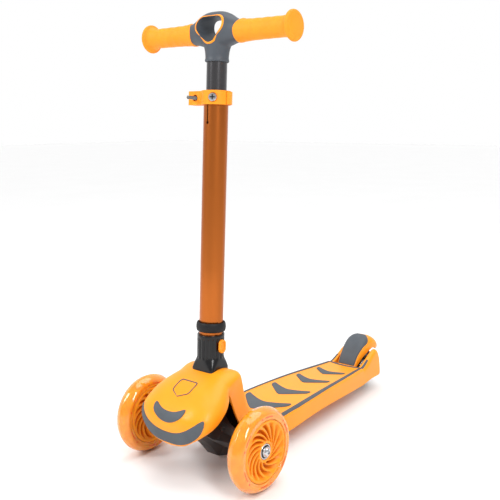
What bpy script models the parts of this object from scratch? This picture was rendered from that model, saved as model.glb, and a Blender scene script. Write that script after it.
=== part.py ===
"""Three-wheel, lean-to-steer kick scooter for a small child.

Metres, +Z up, ground at Z = 0.  The scooter faces -Y and is symmetric about X = 0.
Shapes are laid out from the front axle (Y = 0 there) under the empty chassis_frame.
What slides along the steering column is laid out along Z under the empty stem_frame,
which leans back.  The truck pivots about the empty kingpin_axis.
"""
import math

import bmesh
import bpy
import numpy as np
from mathutils import Vector
from mathutils.bvhtree import BVHTree

GAP = 0.0003                    # clearance between pieces that touch

# Whole scooter, measured from the front axle
FRONT_AXLE_Y = -0.2104          # centres the scooter's length on the origin
WHEELBASE = 0.4500
STEM_Y = 0.0152                 # where the steering column's axis meets the ground
STEM_LEAN = math.radians(2.96)

# Front wheels
WHEEL_R = 0.0600
TYRE_W = 0.0275
TRACK_HALF = 0.1087             # wheel centre plane to X = 0
CORE_R = 0.0440
CORE_W = 0.0240
BEARING_R = 0.0110
BEARING_W = 0.0070
AXLE_R = 0.0040
WHEEL_STEPS = 28

# Rear wheel
REAR_R = 0.0380
REAR_TYRE_W = 0.0240
REAR_CORE_R = 0.0270

# Steering truck: the kingpin's top tilts towards the nose
KINGPIN_Y = 0.0509              # its axis at the front axle's height
KINGPIN_TILT = math.radians(28.0)

# Steering column, heights along the leaning axis
SOCKET_BASE_Z = 0.1506          # level underside of the socket's foot
SOCKET_TOP_S = 0.1995
SOCKET_R = 0.0200
TUBE_R = 0.0173                 # outer (lower) tube, 34.6 mm across
TUBE_BORE_R = 0.0149
TUBE_FOOT_S = 0.1535
TUBE_TOP_S = 0.5450
STOP_RING_S = (0.2008, 0.2184)
BUTTON_S = 0.1840
BUTTON_TRAVEL = 0.0025
BUTTON_FACE_X = 0.0238
SLIT_END_S = 0.5023
COLLAR_S = (0.5272, 0.5464)
COLLAR_R = 0.0207
LUG_X = -0.0400                 # outer end of the clamp's lugs
LUG_HALF = 0.0095               # half the thickness over both lugs
LUG_GAP = 0.0012                # half the split between them
SKEWER_X = -0.0285
LEVER_Y = 0.0172                # the lever's pin, across from the screw
LEVER_PIN_R = 0.0030
SKEWER_R = 0.0025
UPPER_R = 0.01435               # sliding (upper) tube, 28.7 mm across
UPPER_FOOT_S = 0.3000
UPPER_TOP_S = 0.6000
BAR_S = 0.6253                  # handlebar axis
JOINT_FOOT_S = 0.5853

SPIGOT_R = 0.0138               # the steering head's stub through the shell

# Handlebar, from X = 0
JOINT_END_X = 0.0410
BAR_TUBE_END_X = 0.1285
GRIP_END_X = 0.1337
WINDOW_Z = 0.0045               # middle of the hand hole above the bar's axis
GRIP_TUBE_R = 0.0110
FLANGE_R = 0.0203

# Brake
BRAKE_PIVOT = (0.4075, 0.0465)  # Y, Z of the fender's hinge pin
BRAKE_PIN_R = 0.0025
FENDER_WALL = 0.0028
TREAD_COLUMNS = slice(3, 10)    # the part of a fender section that the tread covers

SKIN = 0.0032                   # wall of the moulded shells
CROWN = 0.0002                  # fall of a shell's top outside its level middle strip
NOSE_GAP = 0.0012               # under the nose's inlays, where the shell curves both ways

# Shell stations along the scooter: Y and Z of the centre line, Y and Z of the lower
# edge, half width, and the corner radius across and down.
NOSE_STATIONS = (
    (-0.0640, 0.0585, -0.0615, 0.0590, 0.0120, 0.010, 0.0015),
    (-0.0665, 0.0615, -0.0635, 0.0630, 0.0265, 0.020, 0.0030),
    (-0.0685, 0.0690, -0.0610, 0.0692, 0.0410, 0.030, 0.0070),
    (-0.0702, 0.0800, -0.0546, 0.0778, 0.0538, 0.039, 0.0150),
    (-0.0712, 0.0930, -0.0450, 0.0885, 0.0622, 0.044, 0.0230),
    (-0.0680, 0.1050, -0.0350, 0.0965, 0.0650, 0.046, 0.0290),
    (-0.0590, 0.1155, -0.0255, 0.1040, 0.0652, 0.048, 0.0320),
    (-0.0460, 0.1255, -0.0160, 0.1110, 0.0630, 0.050, 0.0330),
    (-0.0310, 0.1345, -0.0078, 0.1172, 0.0585, 0.049, 0.0320),
    (-0.0140, 0.1412, -0.0012, 0.1212, 0.0545, 0.045, 0.0280),
    (0.0030, 0.1470, 0.0030, 0.1230, 0.0515, 0.038, 0.0240),
)
DECK_STATIONS = (
    (0.0042, 0.1475, 0.0040, 0.1230, 0.0514, 0.0370, 0.0235),
    (0.0110, 0.1502, 0.0065, 0.1212, 0.0505, 0.0300, 0.0200),
    (0.0300, 0.1502, 0.0105, 0.1170, 0.0495, 0.0180, 0.0130),
    (0.0388, 0.1472, 0.0135, 0.1110, 0.0486, 0.0140, 0.0110),
    (0.0434, 0.1370, 0.0170, 0.1030, 0.0482, 0.0130, 0.0110),
    (0.0470, 0.1225, 0.0210, 0.0930, 0.0482, 0.0130, 0.0110),
    (0.0515, 0.1070, 0.0255, 0.0820, 0.0490, 0.0130, 0.0120),
    (0.0600, 0.0905, 0.0325, 0.0685, 0.0500, 0.0140, 0.0130),
    (0.0720, 0.0745, 0.0430, 0.0530, 0.0520, 0.0140, 0.0120),
    (0.0850, 0.0635, 0.0580, 0.0390, 0.0545, 0.0120, 0.0100),
    (0.1000, 0.0577, 0.0790, 0.0300, 0.0565, 0.0090, 0.0080),
    (0.1200, 0.0560, 0.1060, 0.0260, 0.0580, 0.0060, 0.0060),
    (0.1700, 0.0575, 0.1700, 0.0268, 0.0577, 0.0048, 0.0048),
    (0.2000, 0.0580, 0.2000, 0.0282, 0.0560, 0.0048, 0.0048),
    (0.2400, 0.0580, 0.2400, 0.0288, 0.0534, 0.0048, 0.0048),
    (0.2660, 0.0580, 0.2660, 0.0283, 0.0517, 0.0048, 0.0048),
    (0.2800, 0.0574, 0.2800, 0.0280, 0.0507, 0.0048, 0.0048),
    (0.3200, 0.0560, 0.3200, 0.0262, 0.0476, 0.0048, 0.0048),
    (0.3600, 0.0545, 0.3600, 0.0235, 0.0442, 0.0048, 0.0048),
    (0.4015, 0.0533, 0.4015, 0.0205, 0.0402, 0.0048, 0.0048),
)
FENDER_STATIONS = (
    (0.4040, 0.0520, 0.4085, 0.0490, 0.0238, 0.005, 0.0030),
    (0.4105, 0.0655, 0.4190, 0.0565, 0.0240, 0.006, 0.0060),
    (0.4215, 0.0800, 0.4300, 0.0640, 0.0241, 0.007, 0.0090),
    (0.4350, 0.0918, 0.4425, 0.0700, 0.0242, 0.009, 0.0110),
    (0.4490, 0.0990, 0.4525, 0.0745, 0.0242, 0.010, 0.0120),
    (0.4625, 0.1010, 0.4610, 0.0775, 0.0240, 0.011, 0.0120),
    (0.4750, 0.0975, 0.4685, 0.0785, 0.0232, 0.012, 0.0120),
    (0.4852, 0.0890, 0.4750, 0.0775, 0.0215, 0.013, 0.0110),
    (0.4915, 0.0775, 0.4810, 0.0745, 0.0185, 0.012, 0.0090),
    (0.4935, 0.0680, 0.4880, 0.0690, 0.0135, 0.010, 0.0040),
)

# Deck chevrons: Y of the tips, half width, thickness at X = 0
DECK_CHEVRONS = ((0.1720, 0.0427, 0.030), (0.2339, 0.0368, 0.022),
                 (0.2992, 0.0327, 0.017), (0.3540, 0.0269, 0.012))
BADGE_OUTLINE = ((0.1268, 0.0072), (0.1290, 0.0136), (0.1320, 0.0160), (0.1360, 0.0160),
                 (0.1400, 0.0152))  # Z and half width

NOSE_ARC = 6                    # facets round each corner of the nose
NOSE_CENTRES = ((-0.0200, 0.1050), (0.0015, 0.1050))  # its wall is offset towards these

COLOURS = {
    "orange": ((0.95, 0.37, 0.03), 0.35, 0.0),
    "orange_soft": ((0.93, 0.34, 0.03), 0.55, 0.0),
    "orange_clear": ((0.96, 0.36, 0.05), 0.15, 0.0),
    "grey": ((0.13, 0.14, 0.16), 0.60, 0.0),
    "black": ((0.015, 0.014, 0.014), 0.40, 0.0),
    "rubber": ((0.02, 0.02, 0.02), 0.80, 0.0),
    "anodised": ((0.45, 0.15, 0.03), 0.28, 0.9),
    "gunmetal": ((0.10, 0.10, 0.11), 0.30, 0.9),
    "steel": ((0.55, 0.55, 0.56), 0.28, 1.0),
}


# ---------------------------------------------------------------- helpers

def clear_scene():
    for obj in list(bpy.data.objects):
        bpy.data.objects.remove(obj, do_unlink=True)


def make_material(name):
    colour, roughness, metallic = COLOURS[name]
    material = bpy.data.materials.new(name)
    material.use_nodes = True
    shader = material.node_tree.nodes["Principled BSDF"]
    shader.inputs["Base Color"].default_value = (*colour, 1.0)
    shader.inputs["Roughness"].default_value = roughness
    shader.inputs["Metallic"].default_value = metallic
    return material


def make_empty(name, parent=None, location=(0, 0, 0), rotation=(0, 0, 0)):
    empty = bpy.data.objects.new(name, None)
    bpy.context.scene.collection.objects.link(empty)
    empty.parent = parent
    empty.location = location
    empty.rotation_euler = rotation
    return empty


def make_object(name, bm, colour, parent, location=(0, 0, 0), rotation=(0, 0, 0)):
    """Turn a finished bmesh into a named object with its own material."""
    bmesh.ops.remove_doubles(bm, verts=bm.verts, dist=1e-6)
    bmesh.ops.recalc_face_normals(bm, faces=bm.faces)
    mesh = bpy.data.meshes.new(name)
    bm.to_mesh(mesh)
    bm.free()
    mesh.shade_smooth()
    mesh.set_sharp_from_angle(angle=math.radians(35))
    material = make_material(colour)
    material.name = f"{name}_{colour}"
    mesh.materials.append(material)
    obj = bpy.data.objects.new(name, mesh)
    bpy.context.scene.collection.objects.link(obj)
    obj.parent = parent
    obj.location = location
    obj.rotation_euler = rotation
    return obj


def boolean(obj, operation, name, bm, location=(0, 0, 0), rotation=(0, 0, 0)):
    """Cut or join obj with a hidden guide made in the same parent's space."""
    guide = make_object(name, bm, "grey", obj.parent, location, rotation)
    guide.hide_render = True
    guide.display_type = "WIRE"
    modifier = obj.modifiers.new(name, "BOOLEAN")
    modifier.operation = operation
    modifier.object = guide
    return guide


def loft(rings):
    """Closed solid through matching rings of points, capped at both ends."""
    bm = bmesh.new()
    rows = [[bm.verts.new(point) for point in ring] for ring in rings]
    count = len(rows[0])
    for low, high in zip(rows, rows[1:]):
        for i in range(count):
            j = (i + 1) % count
            bm.faces.new((low[i], low[j], high[j], high[i]))
    bm.faces.new(rows[0])
    bm.faces.new(rows[-1])
    return bm


def prism(outline, low, high):
    """An outline in X and Y, extruded along Z."""
    return loft([[(x, y, z) for x, y in outline] for z in (low, high)])


def prism_along_x(outline, low, high):
    """An outline in Y and Z, extruded along X."""
    return loft([[(x, y, z) for y, z in outline] for x in (low, high)])


def box(size, centre=(0, 0, 0)):
    sx, sy, sz = (length / 2 for length in size)
    cx, cy, cz = centre
    outline = [(cx - sx, cy - sy), (cx + sx, cy - sy), (cx + sx, cy + sy), (cx - sx, cy + sy)]
    return prism(outline, cz - sz, cz + sz)


def turned(profile, steps=32, axis="Z"):
    """Revolve (radius, height) points: a ring, or a solid if the ends are on the axis."""
    bm = bmesh.new()
    verts = [bm.verts.new((radius, 0, height)) for radius, height in profile]
    edges = [bm.edges.new(pair) for pair in zip(verts, verts[1:])]
    if profile[0][0] > 0:
        edges.append(bm.edges.new((verts[-1], verts[0])))
    bmesh.ops.spin(bm, geom=verts + edges, cent=(0, 0, 0), axis=(0, 0, 1),
                   steps=steps, angle=2 * math.pi, use_merge=True)
    if axis == "X":
        for vert in bm.verts:
            x, y, z = vert.co
            vert.co = (z, x, y)
    if axis == "Y":
        for vert in bm.verts:
            x, y, z = vert.co
            vert.co = (y, z, x)
    return bm


def cylinder(radius, low, high, steps=24, axis="Z"):
    return turned([(0, low), (radius, low), (radius, high), (0, high)], steps, axis)


def tube(outer, inner, low, high, steps=32, axis="Z"):
    return turned([(outer, low), (outer, high), (inner, high), (inner, low)], steps, axis)


def hexagon(across_flats, low, high):
    radius = across_flats / math.sqrt(3)
    outline = [(radius * math.cos(math.radians(60 * i)), radius * math.sin(math.radians(60 * i)))
               for i in range(6)]
    return prism(outline, low, high)


def rounded_outline(corners, steps=6):
    """Outline through (x, y, radius) corners, each turned as an arc."""
    points = []
    count = len(corners)
    for i, (x, y, radius) in enumerate(corners):
        here = Vector((x, y))
        before = (Vector(corners[i - 1][:2]) - here).normalized()
        after = (Vector(corners[(i + 1) % count][:2]) - here).normalized()
        half = before.angle(after) / 2
        start = here + before * radius / math.tan(half)
        end = here + after * radius / math.tan(half)
        centre = here + (before + after).normalized() * radius / math.sin(half)
        first = start - centre
        turn = first.angle_signed(end - centre)
        for k in range(steps + 1):
            angle = -turn * k / steps
            c, s = math.cos(angle), math.sin(angle)
            points.append((centre.x + first.x * c - first.y * s,
                           centre.y + first.x * s + first.y * c))
    return points


def section(station, arc=3):
    """Points across one station, from the left lower edge over the top to the right."""
    ty, tz, ey, ez, half_width, corner_x, corner_z = station
    depth = math.hypot(ey - ty, ez - tz)
    corner_z = min(corner_z, 0.8 * depth)
    flat = half_width - corner_x
    half = [(0.0, 0.0), (flat / 2, 0.0)]
    for k in range(arc + 1):
        angle = math.pi / 2 * k / arc
        fall = CROWN + (corner_z - CROWN) * (1 - math.cos(angle))
        half.append((flat + corner_x * math.sin(angle), fall))
    half.append((half_width, depth))
    across = [(-x, drop) for x, drop in reversed(half[1:])] + half
    return [(x, ty + (ey - ty) * drop / depth, tz + (ez - tz) * drop / depth)
            for x, drop in across]


def outward_normals(grid):
    along = np.gradient(grid, axis=0)
    across = np.gradient(grid, axis=1)
    normals = np.cross(across, along)
    return normals / np.linalg.norm(normals, axis=2, keepdims=True)


def skin(outer, inner):
    """Closed skin between two matching grids of points."""
    bm = bmesh.new()
    top = [[bm.verts.new(point) for point in row] for row in outer]
    bottom = [[bm.verts.new(point) for point in row] for row in inner]
    rows, columns = len(top), len(top[0])
    for i in range(rows - 1):
        for j in range(columns - 1):
            bm.faces.new((top[i][j], top[i][j + 1], top[i + 1][j + 1], top[i + 1][j]))
            bm.faces.new((bottom[i][j], bottom[i + 1][j], bottom[i + 1][j + 1], bottom[i][j + 1]))
    rim = [(0, j) for j in range(columns)]
    rim += [(i, columns - 1) for i in range(1, rows)]
    rim += [(rows - 1, j) for j in range(columns - 2, -1, -1)]
    rim += [(i, 0) for i in range(rows - 2, 0, -1)]
    for (i, j), (k, m) in zip(rim, rim[1:] + rim[:1]):
        bm.faces.new((top[i][j], bottom[i][j], bottom[k][m], top[k][m]))
    return bm


def domed_shell(stations, thickness, centres, arc):
    """Shell whose wall is offset towards a centre (Y, Z) that moves from first to last."""
    outer = np.array([section(station, arc) for station in stations])
    share = np.linspace(0, 1, len(stations))[:, None]
    centre = np.zeros((len(stations), 1, 3))
    centre[:, 0, 1:] = np.array(centres[0]) * (1 - share) + np.array(centres[1]) * share
    inward = centre - outer
    return skin(outer, outer + thickness * inward / np.linalg.norm(inward, axis=2, keepdims=True))


def arched_shell(stations, thickness):
    """Shell whose wall is measured within each station's own plane."""
    outer = [section(station) for station in stations]
    inner = []
    for ty, tz, ey, ez, half_width, corner_x, corner_z in stations:
        share = thickness / math.hypot(ey - ty, ez - tz)
        inner.append(section((ty + share * (ey - ty), tz + share * (ez - tz), ey, ez,
                              half_width - thickness, corner_x - thickness / 2,
                              corner_z - thickness / 2)))
    return skin(outer, inner)


def surface_tree(stations, arc=3):
    """Search tree of a shell's outer surface, to lay inlays on."""
    grid = [section(station, arc) for station in stations]
    columns = len(grid[0])
    verts = [Vector(point) for row in grid for point in row]
    faces = []
    for i in range(len(grid) - 1):
        for j in range(columns - 1):
            first = i * columns + j
            faces.append((first, first + 1, first + columns + 1, first + columns))
    return BVHTree.FromPolygons(verts, faces)


def inlay(tree, rows, origin, direction, thickness=0.0012, gap=GAP):
    """Plate that lies on a surface: rows of (x, second) points cast along a direction."""
    grid = np.array([[tree.ray_cast(Vector(origin(x, second)), Vector(direction))[0]
                      for x, second in row] for row in rows])
    lift = outward_normals(grid)
    if (lift.mean(axis=(0, 1)) * np.array(direction)).sum() > 0:
        lift = -lift
    return skin(grid + (gap + thickness) * lift, grid + gap * lift)


def band(front, back, across=3):
    """Rows of points between two matching edge curves."""
    rows = []
    for (x0, s0), (x1, s1) in zip(front, back):
        rows.append([(x0 + (x1 - x0) * k / across, s0 + (s1 - s0) * k / across)
                     for k in range(across + 1)])
    return rows


def chevron_edges(half_width, tip, trough, thickness, power, count=12):
    """Edges of a V-shaped stripe: pointed tips at both sides, thickest at X = 0.

    Tip and trough are positions along the second axis.
    """
    near = []
    far = []
    for k in range(count + 1):
        x = half_width * (2 * k / count - 1)
        spread = abs(x) / half_width
        middle = trough + (tip - trough) * spread ** power
        half = thickness / 2 * max(1 - spread ** 2.5, 0.08)
        near.append((x, middle - half))
        far.append((x, middle + half))
    return near, far


# ---------------------------------------------------------------- shell and deck

def make_shells(chassis):
    cover = domed_shell(NOSE_STATIONS, SKIN, NOSE_CENTRES, NOSE_ARC)
    make_object("front_cover", cover, "orange", chassis)
    deck = make_object("deck_body", arched_shell(DECK_STATIONS, SKIN), "orange", chassis)
    for side in (-1, 1):
        boolean(deck, "UNION", f"fork_arm_guide_{side + 1}", fork_arm(side))
    for i, y in enumerate((0.1500, 0.2500, 0.3500)):
        boolean(deck, "UNION", f"rib_guide_{i}", cross_rib(y))
    axle_bore = cylinder(AXLE_R + GAP, -0.0335, 0.0335, axis="X")
    boolean(deck, "DIFFERENCE", "axle_bore_guide", axle_bore, location=(0, WHEELBASE, REAR_R))
    pin_bore = cylinder(BRAKE_PIN_R + GAP, -0.0320, 0.0320, 16, "X")
    boolean(deck, "DIFFERENCE", "brake_pin_guide", pin_bore, location=(0, *BRAKE_PIVOT))
    boolean(deck, "DIFFERENCE", "spigot_guide", cylinder(SPIGOT_R + GAP, 0.1390, 0.1560),
            location=(0, STEM_Y, 0), rotation=(-STEM_LEAN, 0, 0))


def fork_arm(side):
    """Side plate beside the rear wheel, which carries the axle and the brake's hinge."""
    profile = rounded_outline([
        (0.3800, 0.0222, 0.001), (0.4650, 0.0200, 0.004), (0.4715, 0.0300, 0.006),
        (0.4690, 0.0520, 0.010), (0.4545, 0.0760, 0.006), (0.4400, 0.0740, 0.008),
        (0.4040, 0.0505, 0.010), (0.3800, 0.0505, 0.001)], steps=3)
    inner = [(side * 0.0265, y, z) for y, z in profile]
    outer = [(side * (0.0395 - 0.055 * (y - 0.3900)), y, z) for y, z in profile]
    return loft([inner, outer])


def cross_rib(y):
    """Stiffening rib across the underside of the deck."""
    widths = [station[4] for station in DECK_STATIONS]
    places = [station[0] for station in DECK_STATIONS]
    tops = [station[1] for station in DECK_STATIONS]
    half_width = np.interp(y, places[10:], widths[10:]) - SKIN / 2
    top = np.interp(y, places[10:], tops[10:]) - SKIN / 2
    return box((2 * half_width, 0.003, top - 0.0340), (0, y, (top + 0.0340) / 2))


def make_deck_inlays(chassis):
    deck = surface_tree(DECK_STATIONS)

    def above(x, y):
        return (x, y, 0.20)

    down = (0, 0, -1)
    for i, (tip, half_width, thickness) in enumerate(DECK_CHEVRONS):
        near, far = chevron_edges(half_width, tip, tip - 0.022, thickness, 1.4)
        make_object(f"deck_chevron_{i + 1}", inlay(deck, band(near, far, 1), above, down),
                    "grey", chassis)
    make_object("deck_border", inlay(deck, border_rows(), above, down), "grey", chassis)


def border_outer(y):
    """Half width of the deck border's outer line at Y."""
    places = [station[0] for station in DECK_STATIONS[10:]]
    flats = [station[4] - station[5] for station in DECK_STATIONS[10:]]
    return float(np.interp(y, places, flats)) - 0.0003


def border_rows(width=0.0055, rear=0.3985):
    """Outer and inner edge points round both side stripes and the cross stripe."""
    places = [0.1280] + [station[0] for station in DECK_STATIONS[12:-1]]
    left = [[(-border_outer(y), y), (width - border_outer(y), y)] for y in places]
    corner = [[(-border_outer(rear), rear), (width - border_outer(rear), rear - width)]]
    half = left + corner
    return half + [[(-x, y) for x, y in row] for row in reversed(half)]


def make_nose_inlays(chassis):
    nose = surface_tree(NOSE_STATIONS, NOSE_ARC)

    def ahead(x, z):
        return (x, -0.20, z)

    back = (0, 1, 0)
    near, far = chevron_edges(0.0281, 0.1165, 0.1035, 0.0135, 1.5)
    small = inlay(nose, band(near, far), ahead, back, gap=NOSE_GAP)
    make_object("nose_chevron_small", small, "grey", chassis)
    near, far = chevron_edges(0.0540, 0.1065, 0.0725, 0.0165, 2.2, count=32)
    large = inlay(nose, band(near, far), ahead, back, gap=NOSE_GAP)
    make_object("nose_chevron_large", large, "grey", chassis)
    badge = [[(half * k / 2, z) for k in range(-2, 3)] for z, half in BADGE_OUTLINE]
    make_object("nose_badge", inlay(nose, badge, ahead, back, 0.0008, NOSE_GAP), "orange", chassis)


# ---------------------------------------------------------------- steering

def make_steering_head(chassis, kingpin):
    profile = rounded_outline([
        (0.0040, 0.1120, 0.002), (0.0330, 0.0990, 0.003), (0.0395, 0.1120, 0.004),
        (0.0392, 0.1290, 0.004), (0.0345, 0.1395, 0.004), (0.0290, 0.1435, 0.003),
        (0.0110, 0.1435, 0.004), (0.0040, 0.1350, 0.004)], steps=2)
    head = make_object("steering_head", prism_along_x(profile, -0.0330, 0.0330), "black", chassis)
    boolean(head, "UNION", "head_spigot_guide", cylinder(SPIGOT_R, 0.1400, 0.1496),
            location=(0, STEM_Y, 0), rotation=(-STEM_LEAN, 0, 0))
    boolean(head, "UNION", "kingpin_boss_guide", cylinder(0.0130, 0.0370, 0.0620, 20),
            location=(0, KINGPIN_Y, WHEEL_R), rotation=(KINGPIN_TILT, 0, 0))
    boolean(head, "DIFFERENCE", "kingpin_bore_guide", cylinder(AXLE_R + GAP, 0.0300, 0.0760),
            location=(0, KINGPIN_Y, WHEEL_R), rotation=(KINGPIN_TILT, 0, 0))
    make_object("kingpin", cylinder(AXLE_R, -0.0305, 0.0755), "steel", kingpin)
    nut = make_object("kingpin_nut", hexagon(0.0130, -0.0290, -0.0225), "steel", kingpin)
    boolean(nut, "DIFFERENCE", "nut_bore_guide", cylinder(AXLE_R + GAP, -0.0320, -0.0200))
    make_object("kingpin_spacer", tube(0.0062, AXLE_R + GAP, -0.0222, 0.0018, 16), "black", kingpin)
    make_object("steering_bushing", tube(0.0110, AXLE_R + 2 * GAP, 0.0291, 0.0365, 16), "rubber",
                kingpin)


def make_truck(kingpin):
    """Faceted cast truck: a beam between the wheels with a lug round the kingpin."""
    tilt_c, tilt_s = math.cos(KINGPIN_TILT), math.sin(KINGPIN_TILT)

    def local(y, z):
        """Chassis Y, Z to the kingpin's own frame."""
        dy, dz = y - KINGPIN_Y, z - WHEEL_R
        return dy * tilt_c + dz * tilt_s, -dy * tilt_s + dz * tilt_c

    def ring(x, points):
        return [(x, *local(y, z)) for y, z in points]

    core = [(-0.0150, 0.0420), (-0.0210, 0.0620), (-0.0140, 0.0790), (0.0060, 0.0870),
            (0.0260, 0.0800), (0.0360, 0.0600), (0.0300, 0.0360), (0.0080, 0.0270)]
    flank = [(-0.0130, 0.0440), (-0.0180, 0.0620), (-0.0120, 0.0760), (0.0040, 0.0820),
             (0.0190, 0.0750), (0.0240, 0.0600), (0.0205, 0.0400), (0.0060, 0.0330)]
    shoulder = [(-0.0100, 0.0500), (-0.0140, 0.0620), (-0.0095, 0.0715), (0.0010, 0.0750),
                (0.0110, 0.0715), (0.0140, 0.0610), (0.0115, 0.0500), (0.0020, 0.0460)]
    arm = [(-0.0060, 0.0530), (-0.0090, 0.0600), (-0.0060, 0.0670), (0.0000, 0.0695),
           (0.0060, 0.0670), (0.0090, 0.0600), (0.0060, 0.0530), (0.0000, 0.0505)]
    tip = [(-0.0050, 0.0545), (-0.0070, 0.0600), (-0.0050, 0.0655), (0.0000, 0.0675),
           (0.0050, 0.0655), (0.0070, 0.0600), (0.0050, 0.0545), (0.0000, 0.0525)]
    half = [(0.0260, core), (0.0400, flank), (0.0600, shoulder), (0.0870, arm), (0.0965, tip)]
    rings = [ring(-x, points) for x, points in reversed(half)]
    rings += [ring(x, points) for x, points in half]
    truck = make_object("truck_body", loft(rings), "black", kingpin)
    lug = rounded_outline([(-0.0220, -0.0450, 0.004), (0.0220, -0.0450, 0.004),
                           (0.0180, 0.0170, 0.010), (-0.0180, 0.0170, 0.010)], steps=4)
    boolean(truck, "UNION", "truck_lug_guide", prism(lug, 0.0025, 0.0285))
    boolean(truck, "DIFFERENCE", "truck_kingpin_guide", cylinder(AXLE_R + 2 * GAP, -0.0300, 0.0400))
    axle_place = (0, *local(0, WHEEL_R))
    boolean(truck, "DIFFERENCE", "truck_axle_guide",
            cylinder(AXLE_R + GAP, -0.1000, 0.1000, axis="X"), location=axle_place)
    make_object("front_axle", cylinder(AXLE_R, -0.1203, 0.1203, axis="X"), "steel", kingpin,
                location=axle_place)
    for side, word in ((-1, "left"), (1, "right")):
        bolt = turned([(0, 0.0), (0.0074, 0.0), (0.0074, 0.0010), (0.0060, 0.0014),
                       (0.0058, 0.0034), (0.0040, 0.0044), (0, 0.0047)], 16, "X")
        if side < 0:
            bmesh.ops.scale(bolt, vec=(-1, 1, 1), verts=bolt.verts)
        make_object(f"axle_bolt_{word}", bolt, "steel", kingpin,
                    location=(side * 0.1206, *axle_place[1:]))


def mirrored_profile(half):
    """Close a profile given for the upper half of a wheel's width."""
    return half + [(radius, -height) for radius, height in reversed(half)]


def make_wheel(prefix, chassis, place, radius, width, core_r, core_w, colours):
    """Tyre, core and two bearings on one spin axis along X."""
    half = width / 2
    wall = radius - core_r
    tyre = mirrored_profile([
        (core_r + GAP, core_w / 2), (core_r + 0.30 * wall, half), (core_r + 0.60 * wall, 0.95 * half),
        (core_r + 0.86 * wall, 0.64 * half), (radius, 0.14 * half)])
    make_object(f"{prefix}_tyre", turned(tyre, WHEEL_STEPS, "X"), colours[0], chassis, location=place)
    bore = BEARING_R + GAP
    hub = bore + 0.0035
    core = mirrored_profile([
        (bore, core_w / 2 - 0.0005), (hub, core_w / 2 - 0.0005), (hub + 0.0020, 0.0050),
        (core_r - 0.0060, 0.0040), (core_r, core_w / 2)])
    make_object(f"{prefix}_core", turned(core, WHEEL_STEPS, "X"), colours[1], chassis, location=place)
    outer = core_w / 2 - 0.0008
    for word, sign in (("left", -1), ("right", 1)):
        ends = sorted((sign * outer, sign * (outer - BEARING_W)))
        make_object(f"{prefix}_bearing_{word}", tube(BEARING_R, AXLE_R + GAP, *ends, 16, "X"),
                    "steel", chassis, location=place)


# ---------------------------------------------------------------- rear wheel and brake

def make_rear(chassis):
    place = (0, WHEELBASE, REAR_R)
    make_wheel("rear", chassis, place, REAR_R, REAR_TYRE_W, REAR_CORE_R, 0.0210,
               ("rubber", "black"))
    make_object("rear_axle", cylinder(AXLE_R, -0.0330, 0.0330, axis="X"), "steel", chassis,
                location=place)
    for side, word in ((-1, "left"), (1, "right")):
        ends = sorted((side * 0.0102, side * 0.0262))
        make_object(f"rear_spacer_{word}", tube(0.0062, AXLE_R + GAP, *ends, 16, "X"), "black",
                    chassis, location=place)


def make_brake(chassis):
    """Sprung foot brake over the rear wheel, hinged at its front end."""
    pivot_y, pivot_z = BRAKE_PIVOT
    pivot = make_empty("brake_pivot", chassis, (0, pivot_y, pivot_z))
    stations = [(ty - pivot_y, tz - pivot_z, ey - pivot_y, ez - pivot_z, *rest)
                for ty, tz, ey, ez, *rest in FENDER_STATIONS]
    fender = make_object("brake_fender", arched_shell(stations, FENDER_WALL), "orange", pivot)
    for side in (-1, 1):
        ends = sorted((side * 0.0160, side * 0.0236))
        boolean(fender, "UNION", f"fender_lug_{side + 1}", cylinder(0.0051, *ends, 16, "X"))
    pin_bore = cylinder(BRAKE_PIN_R + GAP, -0.0300, 0.0300, 16, "X")
    boolean(fender, "DIFFERENCE", "fender_pin_guide", pin_bore)
    make_object("brake_pin", cylinder(BRAKE_PIN_R, -0.0316, 0.0316, 16, "X"), "steel", chassis,
                location=(0, pivot_y, pivot_z))

    grid = np.array([section(station)[TREAD_COLUMNS] for station in stations[:8]])
    lift = outward_normals(grid)
    tread = skin(grid + (GAP + 0.0014) * lift, grid + GAP * lift)
    make_object("brake_tread", tread, "grey", pivot)
    block = ((0.4490, 0.0955), (0.4520, 0.0842), (0.4560, 0.0838), (0.4640, 0.0822), (0.4715, 0.0798),
             (0.4735, 0.0941), (0.4623, 0.0976))
    local_block = [(y - pivot_y, z - pivot_z) for y, z in block]
    make_object("brake_block", prism_along_x(local_block, -0.0110, 0.0110), "rubber", pivot)


# ---------------------------------------------------------------- steering column

def superellipse(half_u, half_v, power, count):
    """Ring of (u, v) points: an ellipse at power 2, squarer as the power grows."""
    points = []
    for k in range(count):
        angle = 2 * math.pi * (k + 0.5) / count
        c, s = math.cos(angle), math.sin(angle)
        scale = (abs(c) ** power + abs(s) ** power) ** (-1.0 / power)
        points.append((half_u * c * scale, half_v * s * scale))
    return points


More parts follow.
